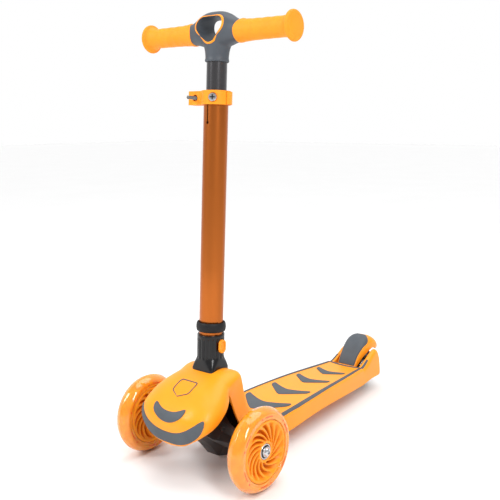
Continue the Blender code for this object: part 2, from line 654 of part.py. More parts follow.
def make_socket(chassis, stem):
    """Stem socket: a rectangular foot on the shell, turning into a round sleeve."""
    top_z = SOCKET_TOP_S * math.cos(STEM_LEAN)
    rings = []
    for half_x, half_y, power, z in ((0.0198, 0.0163, 6.5, SOCKET_BASE_Z),
                                     (0.0197, 0.0162, 6.2, SOCKET_BASE_Z + 0.0045),
                                     (0.0190, 0.0175, 4.0, SOCKET_BASE_Z + 0.0090),
                                     (0.0192, 0.0190, 2.0, SOCKET_BASE_Z + 0.0140),
                                     (0.0197, 0.0197, 2.0, 0.1760),
                                     (SOCKET_R, SOCKET_R, 2.0, top_z)):
        centre_y = STEM_Y + z * math.tan(STEM_LEAN)
        rings.append([(x, centre_y + y, z) for x, y in superellipse(half_x, half_y, power, 24)])
    socket = make_object("stem_socket", loft(rings), "black", chassis)
    lean = dict(location=(0, STEM_Y, 0), rotation=(-STEM_LEAN, 0, 0))
    boolean(socket, "DIFFERENCE", "socket_bore_guide", cylinder(TUBE_R + GAP, 0.1532, 0.2100, 24),
            **lean)
    window = [(y, z + BUTTON_S) for y, z in obround(0.0166, 0.0216)]
    boolean(socket, "DIFFERENCE", "socket_window_guide", prism_along_x(window, 0.0100, 0.0300), **lean)

    button_axis = make_empty("button_axis", stem, (0.0, 0.0, BUTTON_S))
    cap = prism_along_x(obround(0.0160, 0.0210), 0.0150, BUTTON_FACE_X)
    button = make_object("release_button", cap, "orange", button_axis)
    back_r = TUBE_R + BUTTON_TRAVEL + GAP
    boolean(button, "DIFFERENCE", "button_back_guide", cylinder(back_r, -0.0200, 0.0200, 32),
            rotation=(0, 0, math.pi / 32))
    boolean(button, "UNION", "button_pin_guide", cylinder(0.0034, 0.0162, 0.0215, 16, "X"))


def obround(width, height, steps=8):
    """Upright slot outline, Y and Z, round at both ends."""
    radius = width / 2
    rise = height / 2 - radius
    points = []
    for sign in (1, -1):
        for k in range(steps + 1):
            angle = math.pi * k / steps
            points.append((sign * radius * math.cos(angle), sign * (rise + radius * math.sin(angle))))
    return points


def make_column(stem):
    """Lower tube with its keyway, slit, stop ring and quick-release clamp."""
    lower = make_object("lower_tube", tube(TUBE_R, TUBE_BORE_R, TUBE_FOOT_S, TUBE_TOP_S, 32),
                        "anodised", stem)
    keyway_foot, keyway_top = TUBE_FOOT_S - 0.0040, BUTTON_S + 0.0045
    keyway_height = keyway_top - keyway_foot
    keyway = box((0.0100, 0.0086, keyway_height), (0.0170, 0, keyway_foot + keyway_height / 2))
    boolean(lower, "DIFFERENCE", "keyway_guide", keyway)
    slit = box((0.0020, 0.010, 0.060), (0, -0.0170, SLIT_END_S + 0.030))
    boolean(lower, "DIFFERENCE", "slit_guide", slit)
    boolean(lower, "DIFFERENCE", "slit_hole_guide", cylinder(0.0022, -0.0200, -0.0140, 12, "Y"),
            location=(0, 0, SLIT_END_S))
    low, high = STOP_RING_S
    middle = (low + high) / 2
    ring = turned([(TUBE_R + GAP, low), (0.0195, low), (0.0211, low + 0.0030), (0.0216, middle),
                   (0.0211, high - 0.0030), (0.0193, high), (TUBE_R + GAP, high)], 24)
    make_object("stop_ring", ring, "black", stem)
    make_clamp(stem)
    make_object("upper_tube", tube(UPPER_R, 0.0125, UPPER_FOOT_S, UPPER_TOP_S, 28), "gunmetal", stem)


def collar_outline(inner, outer, steps=20):
    """C-shaped ring with two parallel lugs that point to -X."""
    start = math.asin(LUG_GAP / inner)
    points = []
    for k in range(steps + 1):
        angle = math.pi - start - (2 * math.pi - 2 * start) * k / steps
        points.append((inner * math.cos(angle), inner * math.sin(angle)))
    points.append((LUG_X, -LUG_GAP))
    points.append((LUG_X, -LUG_HALF + 0.001))
    points.append((LUG_X + 0.001, -LUG_HALF))
    edge = math.asin(LUG_HALF / outer)
    for k in range(steps + 1):
        angle = -math.pi + edge + (2 * math.pi - 2 * edge) * k / steps
        points.append((outer * math.cos(angle), outer * math.sin(angle)))
    points.append((LUG_X + 0.001, LUG_HALF))
    points.append((LUG_X, LUG_HALF - 0.001))
    points.append((LUG_X, LUG_GAP))
    return points


def make_clamp(stem):
    low, high = COLLAR_S
    middle = (low + high) / 2
    collar = make_object("clamp_collar", prism(collar_outline(TUBE_R + GAP, COLLAR_R), low, high),
                         "orange", stem)
    boolean(collar, "DIFFERENCE", "skewer_guide", cylinder(SKEWER_R + GAP, -0.0150, 0.0150, 16, "Y"),
            location=(SKEWER_X, 0, middle))
    screw_turn = math.radians(27.0)
    boolean(collar, "DIFFERENCE", "screw_seat_guide", cylinder(0.0061, -0.0300, -0.0196, 20, "Y"),
            location=(0, 0, middle), rotation=(0, 0, screw_turn))
    screw = make_object("clamp_screw", cylinder(0.0057, -0.0222, -0.0199, 20, "Y"), "steel", stem,
                        location=(0, 0, middle), rotation=(0, 0, screw_turn))
    for turn in (0, 1):
        size = (0.0070, 0.0020, 0.0016) if turn else (0.0016, 0.0020, 0.0070)
        boolean(screw, "DIFFERENCE", f"screw_cross_{turn}", box(size, (0, -0.0222, 0)),
                location=(0, 0, middle), rotation=(0, 0, screw_turn))
    make_object("clamp_skewer", cylinder(SKEWER_R, -0.0290, LEVER_Y - 0.0034, 16, "Y"), "steel", stem,
                location=(SKEWER_X, 0, middle))
    make_object("lever_pin", cylinder(LEVER_PIN_R, low + 0.0020, high - 0.0020, 16), "steel", stem,
                location=(SKEWER_X, LEVER_Y, 0))

    pivot = make_empty("lever_pivot", stem, (SKEWER_X, LEVER_Y, 0))
    lever = make_object("clamp_lever", prism(lever_outline(), low + 0.0008, high - 0.0008),
                        "orange", pivot)
    boolean(lever, "DIFFERENCE", "lever_bore_guide",
            cylinder(LEVER_PIN_R + GAP, low - 0.01, high + 0.01, 16))
    boolean(lever, "DIFFERENCE", "lever_slot_guide",
            cylinder(0.0090, middle - 0.0031, middle + 0.0031, 24))


def lever_outline(steps=10):
    """Cam hub and the curved arm that hugs the collar, from the lever's own pivot."""
    inner, outer, hub = COLLAR_R + 0.0006, 0.0243, 0.0070
    points = []
    for k in range(steps + 1):
        angle = math.radians(8 + 124 * k / steps)
        points.append((outer * math.cos(angle) - SKEWER_X, outer * math.sin(angle) - LEVER_Y))
    for k in range(steps + 1):
        angle = math.radians(75 + 225 * k / steps)
        points.append((hub * math.cos(angle), hub * math.sin(angle)))
    for k in range(steps + 1):
        angle = math.radians(136 - 125 * k / steps)
        points.append((inner * math.cos(angle) - SKEWER_X, inner * math.sin(angle) - LEVER_Y))
    return points


# ---------------------------------------------------------------- handlebar

def window_outline(grow=0.0):
    """Rounded triangle, point down, of the hand hole in the joint: X and Z."""
    centre = Vector((0.0, 0.0040))
    reach = 1 + grow / 0.0130
    corners = []
    for x, z, radius in ((-0.0270, 0.0185, 0.0105), (0.0270, 0.0185, 0.0105), (0.0, -0.0245, 0.0115)):
        spot = centre + (Vector((x, z)) - centre) * reach
        corners.append((spot.x, spot.y, radius + grow))
    return rounded_outline(corners)


def joint_rings():
    """Sections of the handlebar joint from its left end to its right end."""
    half = ((0.0, 0.0215, -0.0230, 0.0290), (0.0130, 0.0213, -0.0230, 0.0284),
            (0.0230, 0.0206, -0.0215, 0.0262), (0.0310, 0.0190, -0.0185, 0.0222),
            (0.0370, 0.0168, -0.0163, 0.0178), (JOINT_END_X, 0.0152, -0.0152, 0.0154))
    both = [(-x, *rest) for x, *rest in reversed(half[1:])] + list(half)
    rings = []
    for x, depth, low, high in both:
        ring = superellipse(depth, (high - low) / 2, 2.3, 16)
        rings.append([(x, y, z + (high + low) / 2) for y, z in ring])
    return rings


def make_handlebar(stem):
    bar = make_empty("bar_frame", stem, (0, 0, BAR_S))
    joint = make_object("bar_joint", loft(joint_rings()), "grey", bar)
    foot = JOINT_FOOT_S - BAR_S
    neck = turned([(0, foot), (0.0168, foot), (0.0170, foot + 0.0120), (0.0205, -0.0150), (0, -0.0100)],
                  20)
    boolean(joint, "UNION", "neck_guide", neck)
    hole = [[(x, y, z) for x, z in window_outline()] for y in (-0.0300, 0.0300)]
    boolean(joint, "DIFFERENCE", "window_guide", loft(hole), location=(0, 0, WINDOW_Z))
    neck_bore = cylinder(UPPER_R + GAP, foot - 0.0100, UPPER_TOP_S - BAR_S + 0.0005, 20)
    boolean(joint, "DIFFERENCE", "neck_bore_guide", neck_bore)
    for side, word in ((-1, "left"), (1, "right")):
        ends = sorted((side * 0.0345, side * 0.0500))
        boolean(joint, "DIFFERENCE", f"bar_bore_{word}", cylinder(GRIP_TUBE_R + GAP, *ends, 20, "X"))
        ends = sorted((side * 0.0350, side * BAR_TUBE_END_X))
        make_object(f"bar_tube_{word}", tube(GRIP_TUBE_R, 0.0095, *ends, 20, "X"), "gunmetal", bar)
        make_object(f"grip_{word}", grip(side), "orange_soft", bar)
    for side, word in ((-1, "front"), (1, "back")):
        ends = sorted((side * 0.0218, side * 0.0230))
        trim = ring_plate(window_outline(0.0024), window_outline(0.0002), *ends)
        make_object(f"joint_trim_{word}", trim, "orange", bar, location=(0, 0, WINDOW_Z))


def ring_plate(outer, inner, low, high):
    """Flat ring between two matching outlines in X and Z, from Y low to Y high."""
    bm = bmesh.new()
    rings = [[bm.verts.new((x, y, z)) for x, z in outline]
             for outline, y in ((outer, low), (outer, high), (inner, high), (inner, low))]
    count = len(outer)
    for a, b in zip(rings, rings[1:] + rings[:1]):
        for i in range(count):
            j = (i + 1) % count
            bm.faces.new((a[i], a[j], b[j], b[i]))
    return bm


def grip(side):
    """Closed rubber grip with a round hand guard at its outer end."""
    bore = GRIP_TUBE_R + GAP
    start = JOINT_END_X + GAP
    end = GRIP_END_X
    floor = BAR_TUBE_END_X + GAP
    profile = [(0, end), (0.0120, end - 0.0003), (0.0185, end - 0.0015), (FLANGE_R, end - 0.0035),
               (FLANGE_R, end - 0.0060), (0.0185, end - 0.0085), (0.0150, end - 0.0100),
               (0.0133, end - 0.0125), (0.0132, end - 0.0220), (0.0146, start + 0.0120),
               (0.0150, start), (bore, start), (bore, floor), (0, floor)]
    bm = turned(profile, 20, "X")
    if side < 0:
        bmesh.ops.scale(bm, vec=(-1, 1, 1), verts=bm.verts)
    return bm


# ---------------------------------------------------------------- assembly

def build():
    clear_scene()
    chassis = make_empty("chassis_frame", location=(0, FRONT_AXLE_Y, 0))
    stem = make_empty("stem_frame", chassis, (0, STEM_Y, 0), (-STEM_LEAN, 0, 0))
    kingpin = make_empty("kingpin_axis", chassis, (0, KINGPIN_Y, WHEEL_R), (KINGPIN_TILT, 0, 0))
    make_shells(chassis)
    make_deck_inlays(chassis)
    make_nose_inlays(chassis)
    make_steering_head(chassis, kingpin)
    make_truck(kingpin)
    for prefix, side in (("left", -1), ("right", 1)):
        make_wheel(prefix, chassis, (side * TRACK_HALF, 0, WHEEL_R), WHEEL_R, TYRE_W, CORE_R, CORE_W,
                   ("orange_clear", "orange"))
    make_rear(chassis)
    make_brake(chassis)
    make_socket(chassis, stem)
    make_column(stem)
    make_handlebar(stem)


build()
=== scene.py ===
"""Looks of the three-wheel kick scooter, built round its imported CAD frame.

Metres, +Z up, except inside mm().  Shapes are laid out as in the CAD: from the front axle,
along the leaning steering column, or about the tilted kingpin, and then placed by the
matrices below.
"""
import math

import bmesh
import bpy
import numpy as np
from mathutils import Matrix, Vector
from mathutils.bvhtree import BVHTree


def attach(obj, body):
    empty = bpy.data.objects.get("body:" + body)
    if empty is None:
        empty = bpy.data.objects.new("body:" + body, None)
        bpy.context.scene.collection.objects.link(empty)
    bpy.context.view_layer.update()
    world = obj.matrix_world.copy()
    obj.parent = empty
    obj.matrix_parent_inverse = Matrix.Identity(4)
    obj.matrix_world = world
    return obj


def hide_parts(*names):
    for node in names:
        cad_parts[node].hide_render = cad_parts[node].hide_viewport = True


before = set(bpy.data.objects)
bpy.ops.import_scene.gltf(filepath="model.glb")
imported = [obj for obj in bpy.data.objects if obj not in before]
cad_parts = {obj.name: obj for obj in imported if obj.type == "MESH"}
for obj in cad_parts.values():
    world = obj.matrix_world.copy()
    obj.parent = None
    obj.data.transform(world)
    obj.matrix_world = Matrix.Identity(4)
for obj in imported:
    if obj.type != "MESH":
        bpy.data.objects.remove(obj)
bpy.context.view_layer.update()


def mm(*rows):
    """Rows of lengths in metres, given in millimetres."""
    return [tuple(round(value / 1000, 7) for value in row) for row in rows]


# ---------------------------------------------------------------- sizes and stations
FRONT_AXLE_Y = -0.2104
WHEELBASE = 0.45
STEM_Y = 0.0152
STEM_LEAN = math.radians(2.96)
KINGPIN_Y = 0.0509
KINGPIN_TILT = math.radians(28.0)
WHEEL_R = 0.06
TRACK_HALF = 0.1087
CORE_R = 0.044
CORE_HALF = 0.012
REAR_CORE_HALF = 0.0104
BEARING_SEAT_R = 0.0113
REAR_R = 0.038
BAR_S = 0.6253
SKIN = 0.0032
FENDER_WALL = 0.0028

CHASSIS = Matrix.Translation((0, FRONT_AXLE_Y, 0))
STEM = CHASSIS @ Matrix.Translation((0, STEM_Y, 0)) @ Matrix.Rotation(-STEM_LEAN, 4, "X")
KINGPIN = (CHASSIS @ Matrix.Translation((0, KINGPIN_Y, WHEEL_R))
           @ Matrix.Rotation(KINGPIN_TILT, 4, "X"))
BAR = STEM @ Matrix.Translation((0, 0, BAR_S))

# Stations of the one-piece shell: Y and Z of the centre line, Y and Z of the lower edge,
# half width, corner radius across and down.
SHELL = mm(
    (-64, 60, -62.2, 61, 11, 10, 1.2),
    (-66.5, 62.8, -63, 66.8, 27.5, 22, 3.2),
    (-68.5, 69.8, -59.2, 74.8, 43, 32, 8.5),
    (-70.2, 80.5, -52.8, 82.2, 55.2, 38, 15.5),
    (-71.2, 93, -44.2, 89.5, 62.5, 40, 22),
    (-68, 105.2, -34.5, 97, 65.8, 40, 26.5),
    (-59, 116, -25.5, 104.2, 66.4, 40, 28),
    (-46, 126.2, -16, 111, 64.8, 41, 28.5),
    (-31, 135.2, -7.8, 117.2, 61.2, 41, 27.5),
    (-14, 142.2, -1.2, 121.2, 56.6, 39, 25.5),
    (3, 147.7, 3, 123, 52.4, 36, 23.2),
    (11, 150, 6.5, 121.2, 50.5, 30, 20),
    (30, 150.2, 10.5, 117, 49.5, 18, 13),
    (38.8, 147.2, 13.5, 111, 48.6, 14, 11),
    (43.4, 137, 17, 103, 48.2, 13, 11),
    (47, 122.5, 21, 93, 48.2, 13, 11),
    (51.5, 107, 25.5, 82, 49, 13, 12),
    (60, 90.5, 32.5, 68.5, 50, 14, 13),
    (72, 74.5, 43, 53, 52, 14, 12),
    (85, 63.5, 58, 39, 54.5, 12, 10),
    (100, 57.7, 79, 30, 56.5, 9, 8),
    (120, 56, 106, 26, 58, 6.5, 6.2),
    (170, 57.5, 170, 26.8, 57.7, 5.5, 5.2),
    (200, 58, 200, 28.2, 56, 5.5, 5.2),
    (240, 58, 240, 28.8, 53.4, 5.5, 5.2),
    (280, 57.4, 280, 28, 50.7, 5.5, 5.2),
    (320, 56, 320, 26.2, 47.6, 5.5, 5.2),
    (360, 54.5, 360, 24.3, 44.2, 5.5, 5.2),
    (401.5, 53.3, 401.5, 22.2, 40.2, 5.5, 5.2),
)
# Rear arms beside the brake: Y and Z of the top line, Z of the lower edge, outer half width.
ARM = mm(
    (398.5, 53.2, 22.4, 40.4), (406, 53.6, 22.6, 39.6),
    (414, 56.2, 23, 38.9), (424, 61, 23.6, 38.1),
    (435, 67, 24, 37.2), (445, 72.4, 24, 36.4),
    (455, 75.6, 23.6, 35.7), (462, 73.8, 23.2, 35.2),
    (467.5, 66, 23.1, 34.8), (471.2, 54, 23.6, 34.4),
    (473.5, 42, 25.2, 34.1), (474.4, 34, 28.4, 33.8),
)
ARM_INNER = 0.0268
# Stations of the brake fender, laid out like the shell's.
FENDER = mm(
    (404, 52, 408.5, 49, 19, 5, 3),
    (410.5, 64.5, 419, 56, 19.6, 7, 5.5),
    (421.5, 78.5, 430, 63.5, 20.5, 9, 8),
    (435, 90, 442.5, 69.5, 21.6, 12, 10.5),
    (449, 96.8, 452.5, 74, 22.7, 16, 12),
    (462.5, 98.5, 461, 76.5, 23.4, 19, 13.5),
    (475, 94.5, 468.5, 74.8, 23.2, 19, 13.5),
    (485.2, 86.5, 475.5, 72.8, 22, 17, 11),
    (491.2, 76, 482.5, 70, 19.6, 14, 8),
    (492.8, 67.2, 488.5, 66.8, 15, 10, 3.5),
)
# Deck chevrons: half width, Y of the front and rear edges at X = 0, and at the tips.
CHEVRONS = mm(
    (43.6, 118, 153, 157, 170.5),
    (37.8, 191.5, 218.5, 221.5, 233.5),
    (33.3, 263, 285.5, 288.5, 299),
    (28.6, 325.5, 345.5, 347, 356.5),
)


# ---------------------------------------------------------------- materials

def surface(name, colour, roughness, metallic=0.0, vary=0.05, patch=35.0, grain=900.0,
            stretch=(1, 1, 1), bump=0.00004, rough_vary=0.06, coat=0.0, subsurface=0.0,
            transmission=0.0, painted_edge_highlight=0.0, painted_hollow_shade=0.0, specular=0.4):
    """Principled material with uneven colour, uneven gloss and a fine raised grain; optionally
    painted highlights on convex edges and painted shade in hollows.
    """
    material = bpy.data.materials.new(name)
    material.use_nodes = True
    nodes, links = material.node_tree.nodes, material.node_tree.links
    shader = nodes["Principled BSDF"]
    shader.inputs["Metallic"].default_value = metallic
    shader.inputs["Coat Weight"].default_value = coat
    shader.inputs["Coat Roughness"].default_value = 0.06
    shader.inputs["Transmission Weight"].default_value = transmission
    shader.inputs["IOR"].default_value = 1.48
    shader.inputs["Specular IOR Level"].default_value = specular
    if subsurface:
        shader.inputs["Subsurface Weight"].default_value = subsurface
        shader.inputs["Subsurface Radius"].default_value = (1.0, 0.35, 0.08)
        shader.inputs["Subsurface Scale"].default_value = 0.006
    place = nodes.new("ShaderNodeTexCoord")
    mapping = nodes.new("ShaderNodeMapping")
    mapping.inputs["Scale"].default_value = stretch
    links.new(place.outputs["Object"], mapping.inputs["Vector"])

    def noise(scale, detail):
        node = nodes.new("ShaderNodeTexNoise")
        node.inputs["Scale"].default_value = scale
        node.inputs["Detail"].default_value = detail
        links.new(mapping.outputs["Vector"], node.inputs["Vector"])
        return node.outputs["Fac"]

    broad = noise(patch, 4.0)
    fine = noise(grain, 3.0)
    ramp = nodes.new("ShaderNodeValToRGB")
    ramp.color_ramp.elements[0].position = 0.3
    ramp.color_ramp.elements[1].position = 0.7
    ramp.color_ramp.elements[0].color = (*[c * (1 - vary) for c in colour], 1)
    ramp.color_ramp.elements[1].color = (*[min(c * (1 + vary), 1) for c in colour], 1)
    links.new(broad, ramp.inputs["Fac"])
    shade = ramp.outputs["Color"]
    # painted highlight: where pointiness marks a convex edge, the colour is blended towards a
    # paler copy of itself
    if painted_edge_highlight:
        geometry = nodes.new("ShaderNodeNewGeometry")
        edge = nodes.new("ShaderNodeMapRange")
        edge.inputs["From Min"].default_value = 0.52
        edge.inputs["From Max"].default_value = 0.62
        edge.inputs["To Max"].default_value = painted_edge_highlight
        links.new(geometry.outputs["Pointiness"], edge.inputs["Value"])
        mix = nodes.new("ShaderNodeMix")
        mix.data_type = "RGBA"
        mix.inputs[7].default_value = (*[min(c * 1.8 + 0.02, 1) for c in colour], 1)
        links.new(edge.outputs["Result"], mix.inputs[0])
        links.new(shade, mix.inputs[6])
        shade = mix.outputs[2]
    # painted shade: where ambient occlusion finds a hollow or crease, the colour is blended
    # towards a darker, redder copy of itself
    if painted_hollow_shade:
        hollow = nodes.new("ShaderNodeAmbientOcclusion")
        hollow.inputs["Distance"].default_value = painted_hollow_shade
        mix = nodes.new("ShaderNodeMix")
        mix.data_type = "RGBA"
        mix.inputs[6].default_value = (colour[0] * 0.62, colour[1] * 0.28, colour[2] * 0.2, 1)
        links.new(hollow.outputs["AO"], mix.inputs[0])
        links.new(shade, mix.inputs[7])
        shade = mix.outputs[2]
    links.new(shade, shader.inputs["Base Color"])
    gloss = nodes.new("ShaderNodeMapRange")
    gloss.inputs["To Min"].default_value = max(roughness - rough_vary, 0.02)
    gloss.inputs["To Max"].default_value = roughness + rough_vary
    links.new(broad, gloss.inputs["Value"])
    links.new(gloss.outputs["Result"], shader.inputs["Roughness"])
    relief = nodes.new("ShaderNodeBump")
    relief.inputs["Strength"].default_value = 0.6
    relief.inputs["Distance"].default_value = bump
    links.new(fine, relief.inputs["Height"])
    links.new(relief.outputs["Normal"], shader.inputs["Normal"])
    return material


ORANGE = (0.97, 0.325, 0.01)
# The black, truck and both steel finishes carry painted highlights on their convex edges; the
# satin and core finishes carry painted shade in their hollows.
MATERIALS = {
    "shell": surface("orange_shell", ORANGE, 0.38, coat=0.05, vary=0.03, subsurface=0.08,
                     bump=0.00002, grain=500, specular=0.3),
    "satin": surface("orange_satin", (0.96, 0.31, 0.012), 0.42, vary=0.04, subsurface=0.08,
                     specular=0.3, painted_hollow_shade=0.003),
    "grip": surface("orange_grip", (0.95, 0.3, 0.016), 0.58, vary=0.05, grain=1600,
                    bump=0.00008, subsurface=0.1, specular=0.25),
    "tyre": surface("orange_tyre", (0.99, 0.315, 0.018), 0.07, vary=0.1, patch=90, coat=0.7,
                    subsurface=0.45, transmission=0.12, bump=0.00001, rough_vary=0.02),
    "core": surface("orange_core", (0.98, 0.325, 0.01), 0.34, vary=0.05, subsurface=0.1,
                    specular=0.3, painted_hollow_shade=0.007),
    "lamp": surface("lamp_module", (0.78, 0.1, 0.015), 0.25, vary=0.15, patch=200),
    "inlay": surface("grey_inlay", (0.086, 0.098, 0.112), 0.6, vary=0.08, patch=60, grain=1400,
                     bump=0.0001, specular=0.25),
    "joint": surface("grey_joint", (0.07, 0.08, 0.094), 0.48, vary=0.06, patch=45, grain=1500,
                     bump=0.00005, specular=0.3),
    "black": surface("black_plastic", (0.005, 0.005, 0.0058), 0.3, vary=0.2, coat=0.25,
                     specular=0.25, painted_edge_highlight=0.3),
    "truck": surface("truck_plastic", (0.011, 0.0075, 0.0068), 0.42, vary=0.25, patch=50,
                     grain=700, bump=0.00008, painted_edge_highlight=0.5, specular=0.3),
    "rubber": surface("black_rubber", (0.0085, 0.0088, 0.01), 0.55, vary=0.25, grain=1500,
                      bump=0.0001, specular=0.3),
    "tube": surface("anodised_tube", (0.46, 0.125, 0.022), 0.3, metallic=0.92, vary=0.03,
                    stretch=(1, 1, 0.12), patch=60, grain=900, bump=0.00001, rough_vary=0.02),
    "gunmetal": surface("gunmetal_tube", (0.095, 0.092, 0.096), 0.24, metallic=0.88, vary=0.05,
                        stretch=(1, 1, 0.12), patch=60, grain=900, bump=0.00001,
                        rough_vary=0.02),
    "steel": surface("bright_steel", (0.56, 0.56, 0.57), 0.24, metallic=1.0, vary=0.08, patch=90,
                     grain=1200, painted_edge_highlight=0.2),
    "dark_steel": surface("dark_steel", (0.16, 0.155, 0.15), 0.34, metallic=0.9, vary=0.15,
                          patch=90, painted_edge_highlight=0.3),
    "seal": surface("bearing_seal", (0.03, 0.028, 0.026), 0.5, vary=0.2),
}


# ---------------------------------------------------------------- mesh helpers

def add_mesh(bm, verts, faces):
    made = [bm.verts.new(v) for v in verts]
    for face in faces:
        bm.faces.new([made[i] for i in face])
    return made


def grid_faces(rows, columns, wrap_rows=False, wrap_columns=False):
    faces = []
    for i in range(rows if wrap_rows else rows - 1):
        for j in range(columns if wrap_columns else columns - 1):
            k, m = (i + 1) % rows, (j + 1) % columns
            faces.append((i * columns + j, i * columns + m, k * columns + m, k * columns + j))
    return faces


def loft(rings, cap=True):
    """Closed solid through matching rings of points."""
    bm = bmesh.new()
    count = len(rings[0])
    made = add_mesh(bm, [p for ring in rings for p in ring],
                    grid_faces(len(rings), count, wrap_columns=True))
    if cap:
        bm.faces.new(made[:count])
        bm.faces.new(made[-count:])
    return bm


def prism(outline, low, high):
    return loft([[(x, y, z) for x, y in outline] for z in (low, high)])


def turned(profile, steps=96, axis="Z"):
    """Revolve (radius, height) points: a closed ring, or a solid if the ends are at 0."""
    bm = bmesh.new()
    verts = [bm.verts.new((radius, 0, height)) for radius, height in profile]
    edges = [bm.edges.new(pair) for pair in zip(verts, verts[1:])]
    if profile[0][0] > 0:
        edges.append(bm.edges.new((verts[-1], verts[0])))
    bmesh.ops.spin(bm, geom=verts + edges, cent=(0, 0, 0), axis=(0, 0, 1), steps=steps,
                   angle=2 * math.pi, use_merge=True)
    for vert in bm.verts:
        x, y, z = vert.co
        if axis == "X":
            vert.co = (z, x, y)
        elif axis == "Y":
            vert.co = (y, z, x)
    return bm


def rounded(corners, steps=6):
    """Outline through (x, y, radius) corners, each turned as an arc."""
    points = []
    for i, (x, y, radius) in enumerate(corners):
        here = Vector((x, y))
        before = (Vector(corners[i - 1][:2]) - here).normalized()
        after = (Vector(corners[(i + 1) % len(corners)][:2]) - here).normalized()
        half = before.angle(after) / 2
        centre = here + (before + after).normalized() * radius / math.sin(half)
        first = here + before * radius / math.tan(half) - centre
        last = here + after * radius / math.tan(half) - centre
        turn = first.angle_signed(last)
        for k in range(steps + 1):
            c, s = math.cos(-turn * k / steps), math.sin(-turn * k / steps)
            points.append((centre.x + first.x * c - first.y * s,
                           centre.y + first.x * s + first.y * c))
    return points


def smooth_rows(table, count):
    """Rows of numbers along a smooth curve through the table's rows."""
    rows = np.array(table, float)
    steps = np.linalg.norm(np.diff(rows[:, :min(4, rows.shape[1])], axis=0), axis=1)
    slopes = np.diff(rows, axis=0) / steps[:, None]
    tangents = np.zeros_like(rows)
    tangents[0], tangents[-1] = slopes[0], slopes[-1]
    total = (steps[1:] + steps[:-1])[:, None]
    tangents[1:-1] = (slopes[:-1] * steps[1:, None] + slopes[1:] * steps[:-1, None]) / total
    knots = np.concatenate([[0], np.cumsum(steps)])
    result = []
    for value in np.linspace(0, knots[-1], count):
        i = min(int(np.searchsorted(knots, value, side="right")) - 1, len(steps) - 1)
        a = (value - knots[i]) / steps[i]
        result.append((2 * a**3 - 3 * a**2 + 1) * rows[i]
                      + (a**3 - 2 * a**2 + a) * steps[i] * tangents[i]
                      + (3 * a**2 - 2 * a**3) * rows[i + 1]
                      + (a**3 - a**2) * steps[i] * tangents[i + 1])
    return np.array(result)


def section(station, flat=7, arc=10, side=5):
    """Points across one station, from the left lower edge over the top to the right."""
    ty, tz, ey, ez, half_width, corner_x, corner_z = station
    depth = math.hypot(ey - ty, ez - tz)
    corner_z = min(corner_z, 0.8 * depth)
    level = half_width - corner_x
    half = [(level * k / flat, 0.0) for k in range(flat)]
    for k in range(arc + 1):
        angle = math.pi / 2 * k / arc
        half.append((level + corner_x * math.sin(angle), corner_z * (1 - math.cos(angle))))
    half += [(half_width, corner_z + (depth - corner_z) * k / side) for k in range(1, side + 1)]
    across = [(-x, drop) for x, drop in reversed(half[1:])] + half
    return [(x, ty + (ey - ty) * drop / depth, tz + (ez - tz) * drop / depth)
            for x, drop in across]


def inner_section(station, thickness, deepest=0.7, least=0.0004, **points):
    """The same station inside the wall, measured in its own plane."""
    ty, tz, ey, ez, half_width, corner_x, corner_z = station
    share = min(thickness / math.hypot(ey - ty, ez - tz), deepest)
    return section((ty + share * (ey - ty), tz + share * (ez - tz), ey, ez,
                    half_width - thickness, max(corner_x - thickness / 2, 0.0005),
                    max(corner_z - thickness / 2, least)), **points)


def skin(outer, inner):
    """Closed skin between two matching grids, with a rounded rim."""
    rows, columns, _ = outer.shape
    middle = (outer + inner) / 2
    bm = bmesh.new()
    top = [[bm.verts.new(p) for p in row] for row in outer]
    bottom = [[bm.verts.new(p) for p in row] for row in inner]
    for i in range(rows - 1):
        for j in range(columns - 1):
            bm.faces.new((top[i][j], top[i][j + 1], top[i + 1][j + 1], top[i + 1][j]))
            bm.faces.new((bottom[i][j], bottom[i + 1][j], bottom[i + 1][j + 1], bottom[i][j + 1]))
    rim = [(0, j) for j in range(columns)]
    rim += [(i, columns - 1) for i in range(1, rows)]
    rim += [(rows - 1, j) for j in range(columns - 2, -1, -1)]
    rim += [(i, 0) for i in range(rows - 2, 0, -1)]
    edge = {}
    for i, j in rim:
        away = middle[i, j] - middle[min(max(i, 1), rows - 2), min(max(j, 1), columns - 2)]
        length = np.linalg.norm(away)
        push = away / length * min(0.0003, length / 2) if length else away
        edge[i, j] = bm.verts.new(middle[i, j] + push)
    for a, b in zip(rim, rim[1:] + rim[:1]):
        bm.faces.new((top[a[0]][a[1]], edge[a], edge[b], top[b[0]][b[1]]))
        bm.faces.new((edge[a], bottom[a[0]][a[1]], bottom[b[0]][b[1]], edge[b]))
    return bm


def outward(grid):
    normals = np.cross(np.gradient(grid, axis=1), np.gradient(grid, axis=0))
    return normals / np.maximum(np.linalg.norm(normals, axis=2, keepdims=True), 1e-12)


def piece(name, bm, material, body, replaces=(), space=CHASSIS, bevel=0.0, segments=2,
          subdivide=0, sharp=38, tidy=1e-6):
    """Finish a mesh: place it, smooth it, give it its material and body."""
    bmesh.ops.remove_doubles(bm, verts=bm.verts, dist=tidy)
    bmesh.ops.recalc_face_normals(bm, faces=bm.faces)
    bm.transform(space)
    mesh = bpy.data.meshes.new(name)
    bm.to_mesh(mesh)
    bm.free()
    mesh.shade_smooth()
    if not subdivide:
        mesh.set_sharp_from_angle(angle=math.radians(sharp))
    mesh.materials.append(MATERIALS[material])
    obj = bpy.data.objects.new(name, mesh)
    bpy.context.scene.collection.objects.link(obj)
    if bevel:
        modifier = obj.modifiers.new("edges", "BEVEL")
        modifier.width = bevel
        modifier.segments = segments
        modifier.limit_method = "ANGLE"
        modifier.angle_limit = math.radians(sharp)
    if subdivide:
        modifier = obj.modifiers.new("smooth", "SUBSURF")
        modifier.levels = modifier.render_levels = subdivide
    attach(obj, body)
    if replaces:
        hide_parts(*replaces)
    return obj


